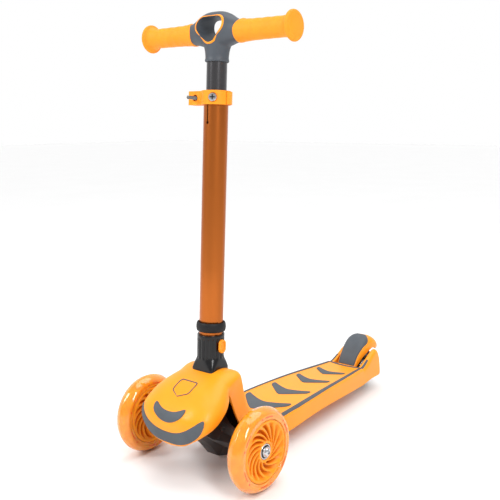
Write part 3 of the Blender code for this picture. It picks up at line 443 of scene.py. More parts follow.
def cut(obj, bm, space=CHASSIS, operation="DIFFERENCE"):
    """Cut a piece's mesh by another closed mesh, once and for all."""
    bmesh.ops.recalc_face_normals(bm, faces=bm.faces)
    bm.transform(space)
    mesh = bpy.data.meshes.new("cutter")
    bm.to_mesh(mesh)
    bm.free()
    tool = bpy.data.objects.new("cutter", mesh)
    bpy.context.scene.collection.objects.link(tool)
    modifier = obj.modifiers.new("cut", "BOOLEAN")
    modifier.operation = operation
    modifier.object = tool
    modifier.solver = "EXACT"
    while obj.modifiers[0] != modifier:
        with bpy.context.temp_override(object=obj, active_object=obj):
            bpy.ops.object.modifier_move_up(modifier="cut")
    with bpy.context.temp_override(object=obj, active_object=obj, selected_objects=[obj]):
        bpy.ops.object.modifier_apply(modifier="cut")
    bpy.data.objects.remove(tool, do_unlink=True)
    obj.data.shade_smooth()
    obj.data.set_sharp_from_angle(angle=math.radians(38))


# ---------------------------------------------------------------- shell, deck and inlays

def arm_ring(side, row):
    """Section of a rear arm: upright inside, well rounded outside."""
    y, top, low, half = row
    across = half - ARM_INNER - 0.0016
    down = min(0.01, 0.5 * (top - low))
    points = [(ARM_INNER, low), (ARM_INNER, low + 0.5 * (top - low))]
    for k in range(5):
        angle = math.pi / 2 * k / 4
        points.append((ARM_INNER + 0.0012 * (1 - math.cos(angle)),
                       top - 0.0012 * (1 - math.sin(angle))))
    for k in range(13):
        angle = math.pi / 2 * k / 12
        points.append((half - across * (1 - math.sin(angle)), top - down * (1 - math.cos(angle))))
    points += [(half, low + 0.3 * (top - low)), (half, low)]
    return [(side * x, y, z) for x, z in points]


def make_shell():
    """Nose, arch, deck and rear arms as one skin. Returns its surface for the inlays."""
    rows = smooth_rows(SHELL, 300)
    outer = np.array([section(row) for row in rows])
    level = np.array([inner_section(row, SKIN) for row in rows])
    share = np.clip((rows[:, 0] + 0.035) / 0.04, 0, 1)
    share = (share**2 * (3 - 2 * share))[:, None, None]
    centre = np.zeros((len(rows), 1, 3))
    centre[:, 0, 1] = -0.02 + 0.0215 * share[:, 0, 0]
    centre[:, 0, 2] = 0.105
    inward = centre - outer
    domed = outer + SKIN * inward / np.linalg.norm(inward, axis=2, keepdims=True)
    bm = skin(outer, domed * (1 - share) + level * share)
    for side in (-1, 1):
        rings = [arm_ring(side, row) for row in smooth_rows(ARM, 44)]
        count = len(rings[0])
        made = add_mesh(bm, [p for ring in rings for p in ring],
                        grid_faces(len(rings), count, wrap_columns=True))
        bm.faces.new(made[:count])
        bm.faces.new(made[-count:])
    for y in (0.15, 0.25, 0.35):
        half = float(np.interp(y, rows[:, 0], rows[:, 4])) - SKIN
        z = float(np.interp(y, rows[150:, 0], rows[150:, 1])) - SKIN / 2
        corners = [(x, yy, zz) for x in (-half, half) for yy in (y - 0.0015, y + 0.0015)
                   for zz in (0.0345, z)]
        add_mesh(bm, corners, [(0, 1, 3, 2), (4, 6, 7, 5), (0, 4, 5, 1), (2, 3, 7, 6),
                               (0, 2, 6, 4), (1, 5, 7, 3)])
    tree = BVHTree.FromBMesh(bm)
    piece("shell", bm, "shell", "chassis", replaces=("front_cover", "deck_body"))
    return tree


def patch(tree, rows, above, height=0.0009, sink=0.0006, rim=1):
    """Raised plate on a surface, its edges rolled down into it."""
    origin, direction = above
    grid = []
    for row in rows:
        line = []
        for x, second in row:
            hit = tree.ray_cast(Vector(origin(x, second)), Vector(direction))[0]
            line.append(hit if hit is not None else line[-1] if line else grid[-1][0])
        grid.append(line)
    grid = np.array([[tuple(p) for p in line] for line in grid])
    lift = outward(grid)
    if (lift.mean(axis=(0, 1)) * np.array(direction)).sum() > 0:
        lift = -lift
    rise = np.full(grid.shape[:2], height)
    for edge in (rise[:rim], rise[-rim:], rise[:, :rim].T, rise[:, -rim:].T):
        edge[:] = -0.0001
    return skin(grid + rise[..., None] * lift, grid - sink * lift)


def wing_rows(half_width, front, rear, sharp_tip, count=72, across=8):
    """Rows across a V-shaped stripe whose edges are given as functions of |u|, 0 to 1."""
    spread = np.sin(np.linspace(-1, 1, count + 1) * math.pi / 2)
    steps = np.concatenate([[-1.0, -0.93], np.linspace(-0.8, 0.8, across - 3), [0.93, 1.0]])
    rows = []
    for u in spread:
        a = abs(u)
        middle = (front(a) + rear(a)) / 2
        half = (rear(a) - front(a)) / 2 * max(1 - a**sharp_tip, 0.0) ** 0.5
        half = max(half, 0.0002) if rear(a) > front(a) else min(half, -0.0002)
        rows.append([(half_width * u, middle + half * v) for v in steps])
    return rows


def make_deck_inlays(tree):
    down = (lambda x, y: (x, y, 0.085), (0, 0, -1))
    for i, (half_width, front0, rear0, front1, rear1) in enumerate(CHEVRONS):
        def front(a):
            return front0 + (front1 - front0) * (math.hypot(a, 0.12) - 0.12) / 0.887

        rows = wing_rows(half_width, front, lambda a: rear0 + (rear1 - rear0) * a**1.5, 34)
        piece(f"deck_wing_{i + 1}", patch(tree, rows, down, 0.001), "inlay", "chassis",
              replaces=(f"deck_chevron_{i + 1}",))

    table = SHELL[20:]
    spread = (0.0, 0.05, 0.5, 0.95, 1.0)

    def edge_x(y):
        half = float(np.interp(y, [s[0] for s in table], [s[4] for s in table]))
        inset = float(np.interp(y, (0.165, 0.228, 0.306, 0.385), (0.0009, 0.0013, 0.0026, 0.0045)))
        return half - inset if y < 0.385 else 0.0372 - 0.075 * (y - 0.385)

    border = bmesh.new()
    for side in (-1, 1):
        rows = []
        for y in np.linspace(0.118, 0.4285, 120):
            width = np.interp(y, (0.118, 0.124, 0.2, 0.36, 0.4285),
                              (0.003, 0.007, 0.0066, 0.0058, 0.0036))
            rows.append([(side * (edge_x(y) - width * k), float(y)) for k in spread])
        half = patch(tree, rows, (lambda x, y: (x, y, 0.12), (0, 0, -1)))
        add_to(border, half)
    cross = []
    for x in np.linspace(-0.0322, 0.0322, 40):
        y = 0.3952 + 0.0052 * (x / 0.0302) ** 2
        cross.append([(float(x), y - 0.0024 + 0.0048 * k) for k in spread])
    add_to(border, patch(tree, cross, down, 0.00085))
    piece("deck_stripes", border, "inlay", "chassis", replaces=("deck_border",))


def add_to(target, source):
    """Move one bmesh's faces into another."""
    source.verts.index_update()
    made = [target.verts.new(v.co) for v in source.verts]
    for face in source.faces:
        target.faces.new([made[v.index] for v in face.verts])
    source.free()


def make_nose_inlays(tree):
    ahead = (lambda x, z: (x, -0.2, z), (0, 1, 0))
    rows = wing_rows(0.0287, lambda a: 0.0952 + 0.0125 * a**2.0,
                     lambda a: 0.1096 + 0.0085 * a**2.2, 14)
    piece("nose_wing_small", patch(tree, rows, ahead, 0.001), "inlay", "chassis",
          replaces=("nose_chevron_small",))
    rows = wing_rows(0.059, lambda a: 0.0645 + 0.026 * a**2.9,
                     lambda a: 0.0815 + 0.0285 * a**2.2, 30)
    piece("nose_wing_large", patch(tree, rows, ahead, 0.001), "inlay", "chassis",
          replaces=("nose_chevron_large",))
    # a plain shield, drawn as a raised outline only
    shield = rounded(mm((0, 124.8, 6), (16, 130, 4), (16.3, 140.2, 3), (-16.3, 140.2, 3),
                        (-16, 130, 4)), 6)
    middle = np.array([0.0, 0.134])
    field = []
    for x, z in shield + shield[:1]:
        reach = np.array([x, z]) - middle
        field.append([tuple(middle + reach * k) for k in (0.9, 0.925, 0.96, 0.985, 1.0)])
    piece("nose_shield", patch(tree, field, ahead, 0.0008), "inlay", "chassis",
          replaces=("nose_badge",))


# ---------------------------------------------------------------- wheels

def wheel_space(x, y, z):
    return Matrix.Translation((x, y + FRONT_AXLE_Y, z))


def mirrored(half):
    return half + [(radius, -height) for radius, height in reversed(half)]


def swirl_core(inner, outer, half, vanes, turn):
    """Wheel core with curved pockets between swirling vanes on both faces."""
    hub, rim = inner + 0.0036, outer - 0.0042
    radii = np.concatenate([[inner, inner + 0.0004, hub - 0.0004, hub + 0.0004],
                            np.linspace(hub + 0.0016, rim - 0.0004, 22),
                            [rim + 0.0004, rim + 0.0012, outer - 0.0005, outer]])
    count = vanes * 14
    rings = []
    for face in (1, -1):
        for radius in (radii if face > 0 else radii[::-1]):
            t = (radius - hub) / (rim - hub)
            ring = []
            for k in range(count):
                angle = 2 * math.pi * k / count
                if radius <= hub:
                    height = half - (0.0012 if radius == inner else 0.0006)
                elif t >= 1:
                    height = half - (0.0006 if radius == outer else 0.0)
                else:
                    wave = math.cos(vanes * (angle - face * turn * t**0.8))
                    open_ = min(max((0.35 - wave) / 0.8, 0), 1)
                    open_ = open_ * open_ * (3 - 2 * open_)
                    dish = half - 0.0036 + 0.0028 * abs(2 * t - 1) ** 2
                    height = dish - (half * 0.6) * open_ * math.sin(math.pi * t**0.7) ** 0.7
                ring.append((face * height, radius * math.cos(angle), radius * math.sin(angle)))
            rings.append(ring)
    bm = bmesh.new()
    add_mesh(bm, [p for ring in rings for p in ring],
             grid_faces(len(rings), count, wrap_rows=True, wrap_columns=True))
    return bm


def arc_block(radius_in, radius_out, low, high, start, stop, steps=14):
    rings = []
    for k in range(steps + 1):
        angle = start + (stop - start) * k / steps
        c, s = math.cos(angle), math.sin(angle)
        rings.append([(x, r * c, r * s) for r, x in ((radius_in, low), (radius_out, low),
                                                     (radius_out, high), (radius_in, high))])
    return loft(rings)


def make_bearings(prefix, body, space, half):
    for word, sign in (("left", -1), ("right", 1)):
        face = half - 0.0008
        race = [(0.0042, face - 0.0066), (0.0042, face - 0.0003), (0.0045, face),
                (0.0059, face), (0.0062, face - 0.0004), (0.0062, face - 0.0009),
                (0.0093, face - 0.0009), (0.0093, face - 0.0004), (0.0096, face),
                (0.0107, face), (0.011, face - 0.0004), (0.011, face - 0.0066)]
        bm = turned([(r, sign * h) for r, h in race], 64, "X")
        piece(f"{prefix}_bearing_rings_{word}", bm, "steel", body,
              replaces=(f"{prefix}_bearing_{word}",), space=space, sharp=30)
        seal = [(0.00625, face - 0.0008), (0.0066, face - 0.0003), (0.008, face - 0.0001),
                (0.009, face - 0.0003), (0.00925, face - 0.0008)]
        bm = turned([(r, sign * h) for r, h in seal], 64, "X")
        piece(f"{prefix}_bearing_seal_{word}", bm, "seal", body, space=space)


def make_front_wheel(prefix, side):
    body = f"{prefix}_wheel"
    space = wheel_space(side * TRACK_HALF, 0, WHEEL_R)
    profile = smooth_rows(mm((44.3, 11.6), (45, 12.6), (46, 12.9), (47, 12.6), (48.2, 12.7),
                             (50.5, 13.1), (53, 12.5), (55.3, 10.6), (57.4, 7.8), (58.9, 4.4),
                             (60, 0.5)), 34)
    tyre = turned(mirrored([tuple(p) for p in profile]), 120, "X")
    piece(f"{prefix}_tyre_body", tyre, "tyre", body,
          replaces=(f"{prefix}_tyre",), space=space)
    core = swirl_core(BEARING_SEAT_R, CORE_R, CORE_HALF, 15, 1.05)
    piece(f"{prefix}_core_swirl", core, "core", body,
          replaces=(f"{prefix}_core",), space=space, sharp=60)
    lamps = bmesh.new()
    for k in range(6):
        for face in (-1, 1):
            start = math.radians(60 * k + 14)
            ends = sorted((face * 0.012, face * 0.01325))
            add_to(lamps, arc_block(0.0484, 0.05, *ends, start, start + 0.34))
            add_to(lamps, arc_block(0.0488, 0.0512, *ends, start + 0.44, start + 0.5, 4))
    piece(f"{prefix}_lamps", lamps, "lamp", body, space=space, bevel=0.0003)
    make_bearings(prefix, body, space, CORE_HALF)
    bolt = turned(mm((0, 0), (7, 0), (7.4, 0.3), (7.4, 1), (6.2, 1.4), (5.9, 2.4), (5.2, 3.6),
                     (4, 4.4), (2.8, 4.7), (2.6, 4.6), (2.3, 3), (0, 2.8)), 48, "X")
    if side < 0:
        bmesh.ops.scale(bolt, vec=(-1, 1, 1), verts=bolt.verts)
    piece(f"{prefix}_bolt_head", bolt, "steel", "truck",
          replaces=(f"axle_bolt_{prefix}",), space=wheel_space(side * 0.1206, 0, WHEEL_R),
          sharp=25)


def make_rear_wheel():
    space = wheel_space(0, WHEELBASE, REAR_R)
    profile = smooth_rows(mm((27.3, 10.2), (29, 11.6), (31.2, 12), (34, 11.2), (36.2, 8.8),
                             (37.5, 5.2), (38, 0.8)), 22)
    piece("rear_tyre_body", turned(mirrored([tuple(p) for p in profile]), 96, "X"), "rubber",
          "rear_wheel", replaces=("rear_tyre",), space=space)
    piece("rear_core_swirl", swirl_core(BEARING_SEAT_R, 0.027, REAR_CORE_HALF, 12, 0.6), "black",
          "rear_wheel", replaces=("rear_core",), space=space, sharp=60)
    make_bearings("rear", "rear_wheel", space, 0.0105)


# ---------------------------------------------------------------- truck

def make_truck():
    """Faceted cast truck: a ribbed beam between the wheels and a lug round the kingpin."""
    tilt_c, tilt_s = math.cos(KINGPIN_TILT), math.sin(KINGPIN_TILT)

    def local(x, y, z):
        dy, dz = y - KINGPIN_Y, z - WHEEL_R
        return (x, dy * tilt_c + dz * tilt_s, -dy * tilt_s + dz * tilt_c)

    keel = mm((10.5, 33), (-15, 58), (-13, 78), (6, 86), (26, 80), (50, 50), (49, 6), (27, 12.5))
    core = mm((-3, 51), (-18, 64), (-14, 79), (6, 87), (26, 80), (40, 56), (39, 30), (22, 34))
    flank = mm((-9, 54), (-18, 62), (-12, 76), (4, 82), (19, 75), (24, 60), (20, 48), (6, 48))
    shoulder = mm((-10, 52), (-14, 62), (-9.5, 71.5), (1, 75), (11, 71.5), (14, 61), (11.5, 52),
                  (2, 49))
    arm = mm((-6, 53), (-9, 60), (-6, 67), (0, 69.5), (6, 67), (9, 60), (6, 53), (0, 50.5))
    tip = mm((-5, 54.5), (-7, 60), (-5, 65.5), (0, 67.5), (5, 65.5), (7, 60), (5, 54.5),
             (0, 52.5))
    half = [(0.0115, keel), (0.0262, core), (0.04, flank), (0.06, shoulder),
            (0.087, arm), (0.0965, tip)]
    rings = [[local(-x, *p) for p in points] for x, points in reversed(half)]
    rings += [[local(x, *p) for p in points] for x, points in half]
    truck = piece("truck_casting", loft(rings), "truck", "truck",
                  replaces=("truck_body",), space=KINGPIN, bevel=0.0011, segments=3, sharp=18)
    lug = rounded(mm((-22.5, -45, 4), (22.5, -45, 4), (18.5, 17, 10), (-18.5, 17, 10)), 6)
    cut(truck, prism(lug, 0.0022, 0.0285), KINGPIN, "UNION")
    cut(truck, turned([(0, -0.03), (0.0046, -0.03), (0.0046, 0.04), (0, 0.04)], 32), KINGPIN)
    for side in (-1, 1):
        for x in (0.031, 0.048):
            rib = [(side * x, -0.026, 0.0), (side * x, 0.02, 0.0), (side * x, 0.01, 0.014),
                   (side * x, -0.012, 0.018)]
            # a raised web along the beam's top
            rings = [[local(px + d, py * 0.62, WHEEL_R + 0.004 + pz * (1.25 - 9 * x))
                      for px, py, pz in rib] for d in (-0.0016, 0.0016)]
            piece(f"truck_web_{'left' if side < 0 else 'right'}_{int(x * 1000)}", loft(rings),
                  "truck", "truck", space=KINGPIN, bevel=0.0006)
    wall = mm((60.5, 24), (90, 29), (90, 55), (74, 68), (64, 80), (59, 80))
    rings = [[(x, y, z) for y, z in wall] for x in (-0.04, -0.02, 0.02, 0.04)]
    for k in (1, 2):
        rings[k] = [(x, y - 0.003, z) for x, y, z in rings[k]]
    piece("head_wall", loft(rings), "truck", "chassis", bevel=0.0012,
          segments=3, sharp=20)


# ---------------------------------------------------------------- brake

def on_section(row, x):
    """Point of a station at one X, on its top or its rounded corner."""
    ty, tz, ey, ez, half_width, corner_x, corner_z = row
    depth = math.hypot(ey - ty, ez - tz)
    corner_z = min(corner_z, 0.8 * depth)
    over = max(abs(x) - (half_width - corner_x), 0) / corner_x
    drop = corner_z * (1 - math.sqrt(max(1 - min(over, 1) ** 2, 0)))
    return (x, ty + (ey - ty) * drop / depth, tz + (ez - tz) * drop / depth)


def make_brake():
    rows = smooth_rows(FENDER, 72)
    points = {"flat": 5, "arc": 9, "side": 4}
    outer = [section(row, **points) for row in rows]
    inner = [inner_section(row, FENDER_WALL, 0.6, 0.0008, **points) for row in rows]
    bm = skin(np.array(outer), np.array(inner))
    for side in (-1, 1):
        ends = sorted((side * 0.0135, side * 0.0188))
        lug = turned([(0.0028, ends[0]), (0.0051, ends[0]), (0.0051, ends[1]),
                      (0.0028, ends[1])], 32, "X")
        lug.transform(Matrix.Translation((0, 0.4075, 0.0465)))
        add_to(bm, lug)
    piece("fender_shell", bm, "shell", "brake", replaces=("brake_fender",))

    rows = smooth_rows(FENDER, 200)
    last = 124
    grid = []
    for i in range(2, last + 1, 2):
        t = i / last
        width = float(np.interp(t, (0, 0.3, 0.6, 0.8, 1.0),
                                (0.0174, 0.0182, 0.0203, 0.0219, 0.0222)))
        width = width * max(1 - max((t - 0.7) / 0.305, 0) ** 2.8, 0.0) ** 0.5
        width = max(width, 0.0012)
        grid.append([on_section(rows[i], width * k / 8) for k in range(-8, 9)])
    grid = np.array(grid)
    lift = outward(grid)
    if lift[len(lift) // 3, 8, 2] < 0:
        lift = -lift
    rise = np.full(grid.shape[:2], 0.0014)
    rise[:, [0, -1]] = -0.0002
    rise[[0, -1]] = -0.0002
    bm = skin(grid + rise[..., None] * lift, grid - 0.0006 * lift)
    piece("fender_tread", bm, "inlay", "brake", replaces=("brake_tread",))
    block = mm((449, 95.5), (452, 84.2), (456, 83.8), (464, 82.2), (471.5, 79.8), (473.5, 94.1),
               (462.3, 97.6))
    bm = loft([[(x, y, z) for y, z in block] for x in (-0.011, 0.011)])
    piece("brake_pad", bm, "rubber", "brake", replaces=("brake_block",),
          bevel=0.0008, segments=3, sharp=25)


# ---------------------------------------------------------------- steering column

def superellipse(half_u, half_v, power, count):
    points = []
    for k in range(count):
        angle = 2 * math.pi * (k + 0.5) / count
        c, s = math.cos(angle), math.sin(angle)
        scale = (abs(c) ** power + abs(s) ** power) ** (-1.0 / power)
        points.append((half_u * c * scale, half_v * s * scale))
    return points


def obround(width, height, steps=14):
    radius = width / 2
    rise = height / 2 - radius
    points = []
    for sign in (1, -1):
        for k in range(steps + 1):
            angle = math.pi * k / steps
            points.append((sign * radius * math.cos(angle),
                           sign * (rise + radius * math.sin(angle))))
    return points


BUTTON_Y, BUTTON_Z = 0.0006, 0.1846


def make_socket():
    """Flared rectangular foot that turns into a ribbed round sleeve."""
    table = [(0.0203, 0.0192, 9.0, 0.1455), (0.0203, 0.0192, 9.0, 0.1515),
             (0.0201, 0.0191, 7.0, 0.153), (0.0199, 0.019, 4.6, 0.157),
             (0.0197, 0.019, 3.2, 0.1605), (0.0195, 0.0191, 2.4, 0.164),
             (0.0194, 0.0193, 2.0, 0.1672), (0.0195, 0.0195, 2.0, 0.176),
             (0.0196, 0.0196, 2.0, 0.19), (0.0199, 0.0199, 2.0, 0.1965),
             (0.0199, 0.0199, 2.0, 0.1996), (0.0195, 0.0195, 2.0, 0.2004)]
    count = 144
    rings = []
    dense = []
    for a, b in zip(table, table[1:]):
        steps = max(int((b[3] - a[3]) / 0.0008), 1)
        dense += [tuple(a[i] + (b[i] - a[i]) * k / steps for i in range(4)) for k in range(steps)]
    dense.append(table[-1])
    for half_x, half_y, power, z in dense:
        centre_y = STEM_Y + z * math.tan(STEM_LEAN)
        ring = []
        for k, (x, y) in enumerate(superellipse(half_x, half_y, power, count)):
            fade = min(max((z - 0.165) / 0.0025, 0), 1) * min(max((0.196 - z) / 0.002, 0), 1)
            groove = 0.0011 * fade * max(math.cos(2 * math.pi * 18 * k / count), -0.2)
            scale = 1 - groove / math.hypot(x, y)
            ring.append((x * scale, centre_y + y * scale, z))
        rings.append(ring)
    for z in (0.2004, 0.18, 0.16, 0.1535):
        centre_y = STEM_Y + z * math.tan(STEM_LEAN)
        rings.append([(0.0176 * math.cos(a), centre_y + 0.0176 * math.sin(a), z)
                      for a in (2 * math.pi * (k + 0.5) / count for k in range(count))])
    socket = piece("socket_sleeve", loft(rings), "black", "chassis",
                   replaces=("stem_socket",), sharp=50)
    window = [(y + BUTTON_Y, z + BUTTON_Z) for y, z in obround(0.0136, 0.0206)]
    cut(socket, loft([[(x, y, z) for y, z in window] for x in (0.01, 0.03)]), STEM)

    ovals = mm((20.1, 12.8, 19.8), (22.6, 12.8, 19.8), (23.3, 12.5, 19.5), (23.7, 11.8, 18.8),
               (23.8, 10.6, 17.6), (23.7, 8.2, 15.2), (23.3, 7.4, 14.4), (22.6, 6.8, 13.8),
               (22.4, 2.8, 9.8))
    bm = loft([[(x, y + BUTTON_Y, z + BUTTON_Z) for y, z in obround(width, height)]
               for x, width, height in ovals])
    piece("button_cap", bm, "satin", "button", replaces=("release_button",),
          space=STEM, sharp=40)


def make_column():
    low, top = 0.1535, 0.545
    bm = turned([(0.0149, low), (0.0171, low), (0.0173, low + 0.0003), (0.0173, 0.3),
                 (0.0173, top - 0.0004), (0.0169, top), (0.0152, top), (0.0149, top - 0.0004)],
                128)
    lower = piece("lower_tube_skin", bm, "tube", "column",
                  replaces=("lower_tube",), space=STEM)
    slit = mm((-0.9, 502.3), (0.9, 502.3), (0.9, 560), (-0.9, 560))
    cut(lower, loft([[(x, y, z) for x, z in slit] for y in (-0.022, -0.012)]), STEM)
    hole = turned([(0, -0.02), (0.0021, -0.02), (0.0021, -0.013), (0, -0.013)], 32, "Y")
    hole.transform(Matrix.Translation((0, 0, 0.5023)))
    cut(lower, hole, STEM)
    key = mm((-4.3, 149.5), (4.3, 149.5), (4.3, 188.5), (-4.3, 188.5))
    cut(lower, loft([[(x, y, z) for y, z in key] for x in (0.012, 0.022)]), STEM)
    ring = smooth_rows(mm((19.5, 204.7), (20.6, 205.8), (21.3, 208.4), (21.6, 211.5), (21.4, 214),
                          (20.7, 217), (19.9, 218.3), (19, 217.8), (18.3, 216.4), (17.7, 216)), 40)
    piece("stop_collar", turned([(0.0177, 0.2048)] + [tuple(p) for p in ring], 96), "rubber",
          "column", replaces=("stop_ring",), space=STEM)
    bm = turned(mm((12.5, 300), (14.1, 300), (14.35, 300.3), (14.35, 599.7), (14.1, 600),
                   (12.5, 600)), 128)
    piece("upper_tube_skin", bm, "gunmetal", "handlebar",
          replaces=("upper_tube",), space=STEM)


LUG_X, LUG_HALF, LUG_GAP, LUG_FILLET = -0.0455, 0.0095, 0.0012, 0.003
SKEWER_X, LEVER_Y = -0.0285, 0.0172
COLLAR_R, COLLAR_LOW, COLLAR_HIGH = 0.0207, 0.5272, 0.5464


def make_clamp():
    inner, outer, steps = 0.0176, COLLAR_R, 56
    middle = (COLLAR_LOW + COLLAR_HIGH) / 2
    start = math.asin(LUG_GAP / inner)
    outline = []
    for k in range(steps + 1):
        angle = math.pi - start - (2 * math.pi - 2 * start) * k / steps
        outline.append((inner * math.cos(angle), inner * math.sin(angle)))
    outline += [(LUG_X + 0.0006, -LUG_GAP), (LUG_X, -LUG_GAP - 0.0006),
                (LUG_X, -LUG_HALF + LUG_FILLET)]

    def fillet(side, turns):
        for k in turns:
            angle = math.pi / 2 * k / 6
            outline.append((LUG_X + LUG_FILLET * (1 - math.cos(angle)),
                            side * (LUG_HALF - LUG_FILLET * (1 - math.sin(angle)))))

    fillet(-1, range(7))
    edge = math.asin(LUG_HALF / outer)
    for k in range(steps + 1):
        angle = -math.pi + edge + (2 * math.pi - 2 * edge) * k / steps
        outline.append((outer * math.cos(angle), outer * math.sin(angle)))
    fillet(1, range(6, -1, -1))
    outline += [(LUG_X, LUG_GAP + 0.0006), (LUG_X + 0.0006, LUG_GAP)]
    collar = piece("collar_band", prism(outline, COLLAR_LOW, COLLAR_HIGH), "satin", "column",
                   replaces=("clamp_collar",), space=STEM, bevel=0.0008,
                   segments=3, tidy=1e-5)
    place = Matrix.Translation((SKEWER_X - 0.003, 0, middle))
    bore = turned(mm((0, -20), (4.7, -20), (4.7, -6.2), (2.8, -6), (2.8, 15), (0, 15)), 32, "Y")
    cut(collar, bore, STEM @ place)
    turn = Matrix.Translation((0, 0, middle)) @ Matrix.Rotation(math.radians(27.0), 4, "Z")
    seat = turned(mm((0, -30), (6.8, -30), (6.6, -19.6), (0, -19.6)), 40, "Y")
    cut(collar, seat, STEM @ turn)
    screw = turned(mm((0, -19.9), (5.7, -19.9), (5.7, -21.4), (5.2, -22), (3, -22.3),
                      (0, -22.4)), 48, "Y")
    piece("clamp_screw_head", screw, "steel", "column",
          replaces=("clamp_screw",), space=STEM @ turn, sharp=25)
    # painted shade: the screw head's cross recess is two thin black bars standing just proud of
    # the head, not a cut
    cross = bmesh.new()
    for wide, tall in ((0.0009, 0.0036), (0.0036, 0.0009)):
        corners = [(-wide, -tall), (wide, -tall), (wide, tall), (-wide, tall)]
        add_to(cross, loft([[(x * k, y, z * k) for x, z in corners]
                            for y, k in ((-0.02252, 0.96), (-0.0216, 1.0))]))
    piece("clamp_screw_recess_shade", cross, "black", "column", space=STEM @ turn)
    thread = []
    for k in range(90):
        thread.append((0.0025 - 0.0004 * (k % 2), -0.024 + 0.034 * k / 89))
    bm = turned([(0, -0.0243)] + thread + [(0.0022, LEVER_Y - 0.0034), (0, LEVER_Y - 0.0034)], 32,
                "Y")
    piece("skewer_thread", bm, "dark_steel", "column", replaces=("clamp_skewer",),
          space=STEM @ place, sharp=60)

    arm = []
    near, far, hub = COLLAR_R + 0.0003, 0.0226, 0.007
    for k in range(29):
        angle = math.radians(-6 + 138 * k / 28)
        reach = near + 0.0003 + (far - near - 0.0003) * min(k / 7, 1) ** 0.5
        arm.append((reach * math.cos(angle) - SKEWER_X, reach * math.sin(angle) - LEVER_Y))
    for k in range(29):
        angle = math.radians(75 + 225 * k / 28)
        arm.append((hub * math.cos(angle), hub * math.sin(angle)))
    for k in range(29):
        angle = math.radians(136 - 141 * k / 28)
        arm.append((near * math.cos(angle) - SKEWER_X, near * math.sin(angle) - LEVER_Y))
    pivot = STEM @ Matrix.Translation((SKEWER_X, LEVER_Y, 0))
    lever = piece("lever_arm", prism(arm, COLLAR_LOW + 0.0008, COLLAR_HIGH - 0.0008), "satin",
                  "lever", replaces=("clamp_lever",), space=pivot, bevel=0.0011,
                  segments=3, tidy=1e-5)
    slot = turned([(0, middle - 0.0031), (0.009, middle - 0.0031), (0.009, middle + 0.0031),
                   (0, middle + 0.0031)], 40)
    cut(lever, slot, pivot)


# ---------------------------------------------------------------- handlebar

WINDOW_Z = 0.003


def window_outline(grow=0.0, steps=10):
    centre = Vector((0.0, 0.004))
    reach = 1 + grow / 0.013
    corners = []
    for x, z, radius in mm((-38, 16.8, 11.2), (38, 16.8, 11.2), (0, -22.8, 12.5)):
        spot = centre + (Vector((x, z)) - centre) * reach
        corners.append((spot.x, spot.y, radius + grow))
    return rounded(corners, steps)


def make_bar_joint():
    half = mm((0, 21.6, -22, 28.4), (13, 21.3, -21, 27.4), (23, 19.6, -18.2, 23.8),
              (31, 17, -16, 19), (37, 15.5, -15, 16.3), (41.5, 14.7, -14.6, 14.8),
              (46, 14.3, -14.3, 14.3), (54, 14.1, -14.1, 14.1))
    both = [(-x, *rest) for x, *rest in reversed(half[1:])] + half
    rings = []
    for x, depth, low, high in smooth_rows(both, 60):
        ring = superellipse(depth, (high - low) / 2, 2.2, 64)
        rings.append([(x, y, z + (high + low) / 2) for y, z in ring])
    joint = piece("bar_joint_body", loft(rings), "joint", "handlebar",
                  replaces=("bar_joint",), space=BAR, sharp=60)
    flare = smooth_rows(mm((16.2, 16.2, -40), (17, 17, -38.8), (17, 17, -37.2), (16.6, 16.6, -36),
                           (16.7, 16.7, -29), (17.6, 17.1, -24), (19.2, 17.8, -19.5),
                           (21.6, 18.6, -15), (24.8, 18.8, -10.5), (27, 17.5, -7)), 40)
    neck = loft([[(x, y, z) for x, y in superellipse(rx, ry, 2.0, 64)] for rx, ry, z in flare])
    cut(joint, neck, BAR, "UNION")
    cut(joint, turned(mm((0, -50), (14.65, -50), (14.65, -24.8), (0, -24.8)), 64), BAR)
    smooth = joint.modifiers.new("cast", "REMESH")
    smooth.mode = "VOXEL"
    smooth.voxel_size = 0.00085
    soft = joint.modifiers.new("soft", "SMOOTH")
    soft.factor = 0.5
    soft.iterations = 6
    with bpy.context.temp_override(object=joint, active_object=joint, selected_objects=[joint]):
        bpy.ops.object.modifier_apply(modifier="cast")
        bpy.ops.object.modifier_apply(modifier="soft")
    surface = BVHTree.FromPolygons([v.co for v in joint.data.vertices],
                                   [face.vertices for face in joint.data.polygons])
    cut(joint, loft([[(x, y, z + WINDOW_Z) for x, z in window_outline()]
                     for y in (-0.03, 0.03)]), BAR)

    def depth_at(x, z, side, reach=0.05):
        """Distance of the joint's front or back surface from the bar's mid plane."""
        inwards = BAR.to_3x3() @ Vector((0, -side, 0))
        return reach - surface.ray_cast(BAR @ Vector((x, side * reach, z)), inwards)[3]

    for side, word in ((-1, "front"), (1, "back")):
        rings = []
        for grow, lift in mm((1.8, -1.2), (1.8, 0.3), (1.3, 0.9), (0.6, 0.9), (0.2, 0.5),
                             (0.1, -0.4), (0.1, -4), (1.6, -4)):
            rings.append([(x, side * (depth_at(x, z + WINDOW_Z, side) + lift), z + WINDOW_Z)
                          for x, z in window_outline(grow)])
        count = len(rings[0])
        bm = bmesh.new()
        add_mesh(bm, [p for ring in rings for p in ring],
                 grid_faces(len(rings), count, wrap_rows=True, wrap_columns=True))
        piece(f"hand_hole_rim_{word}", bm, "satin", "handlebar",
              replaces=(f"joint_trim_{word}",), space=BAR)


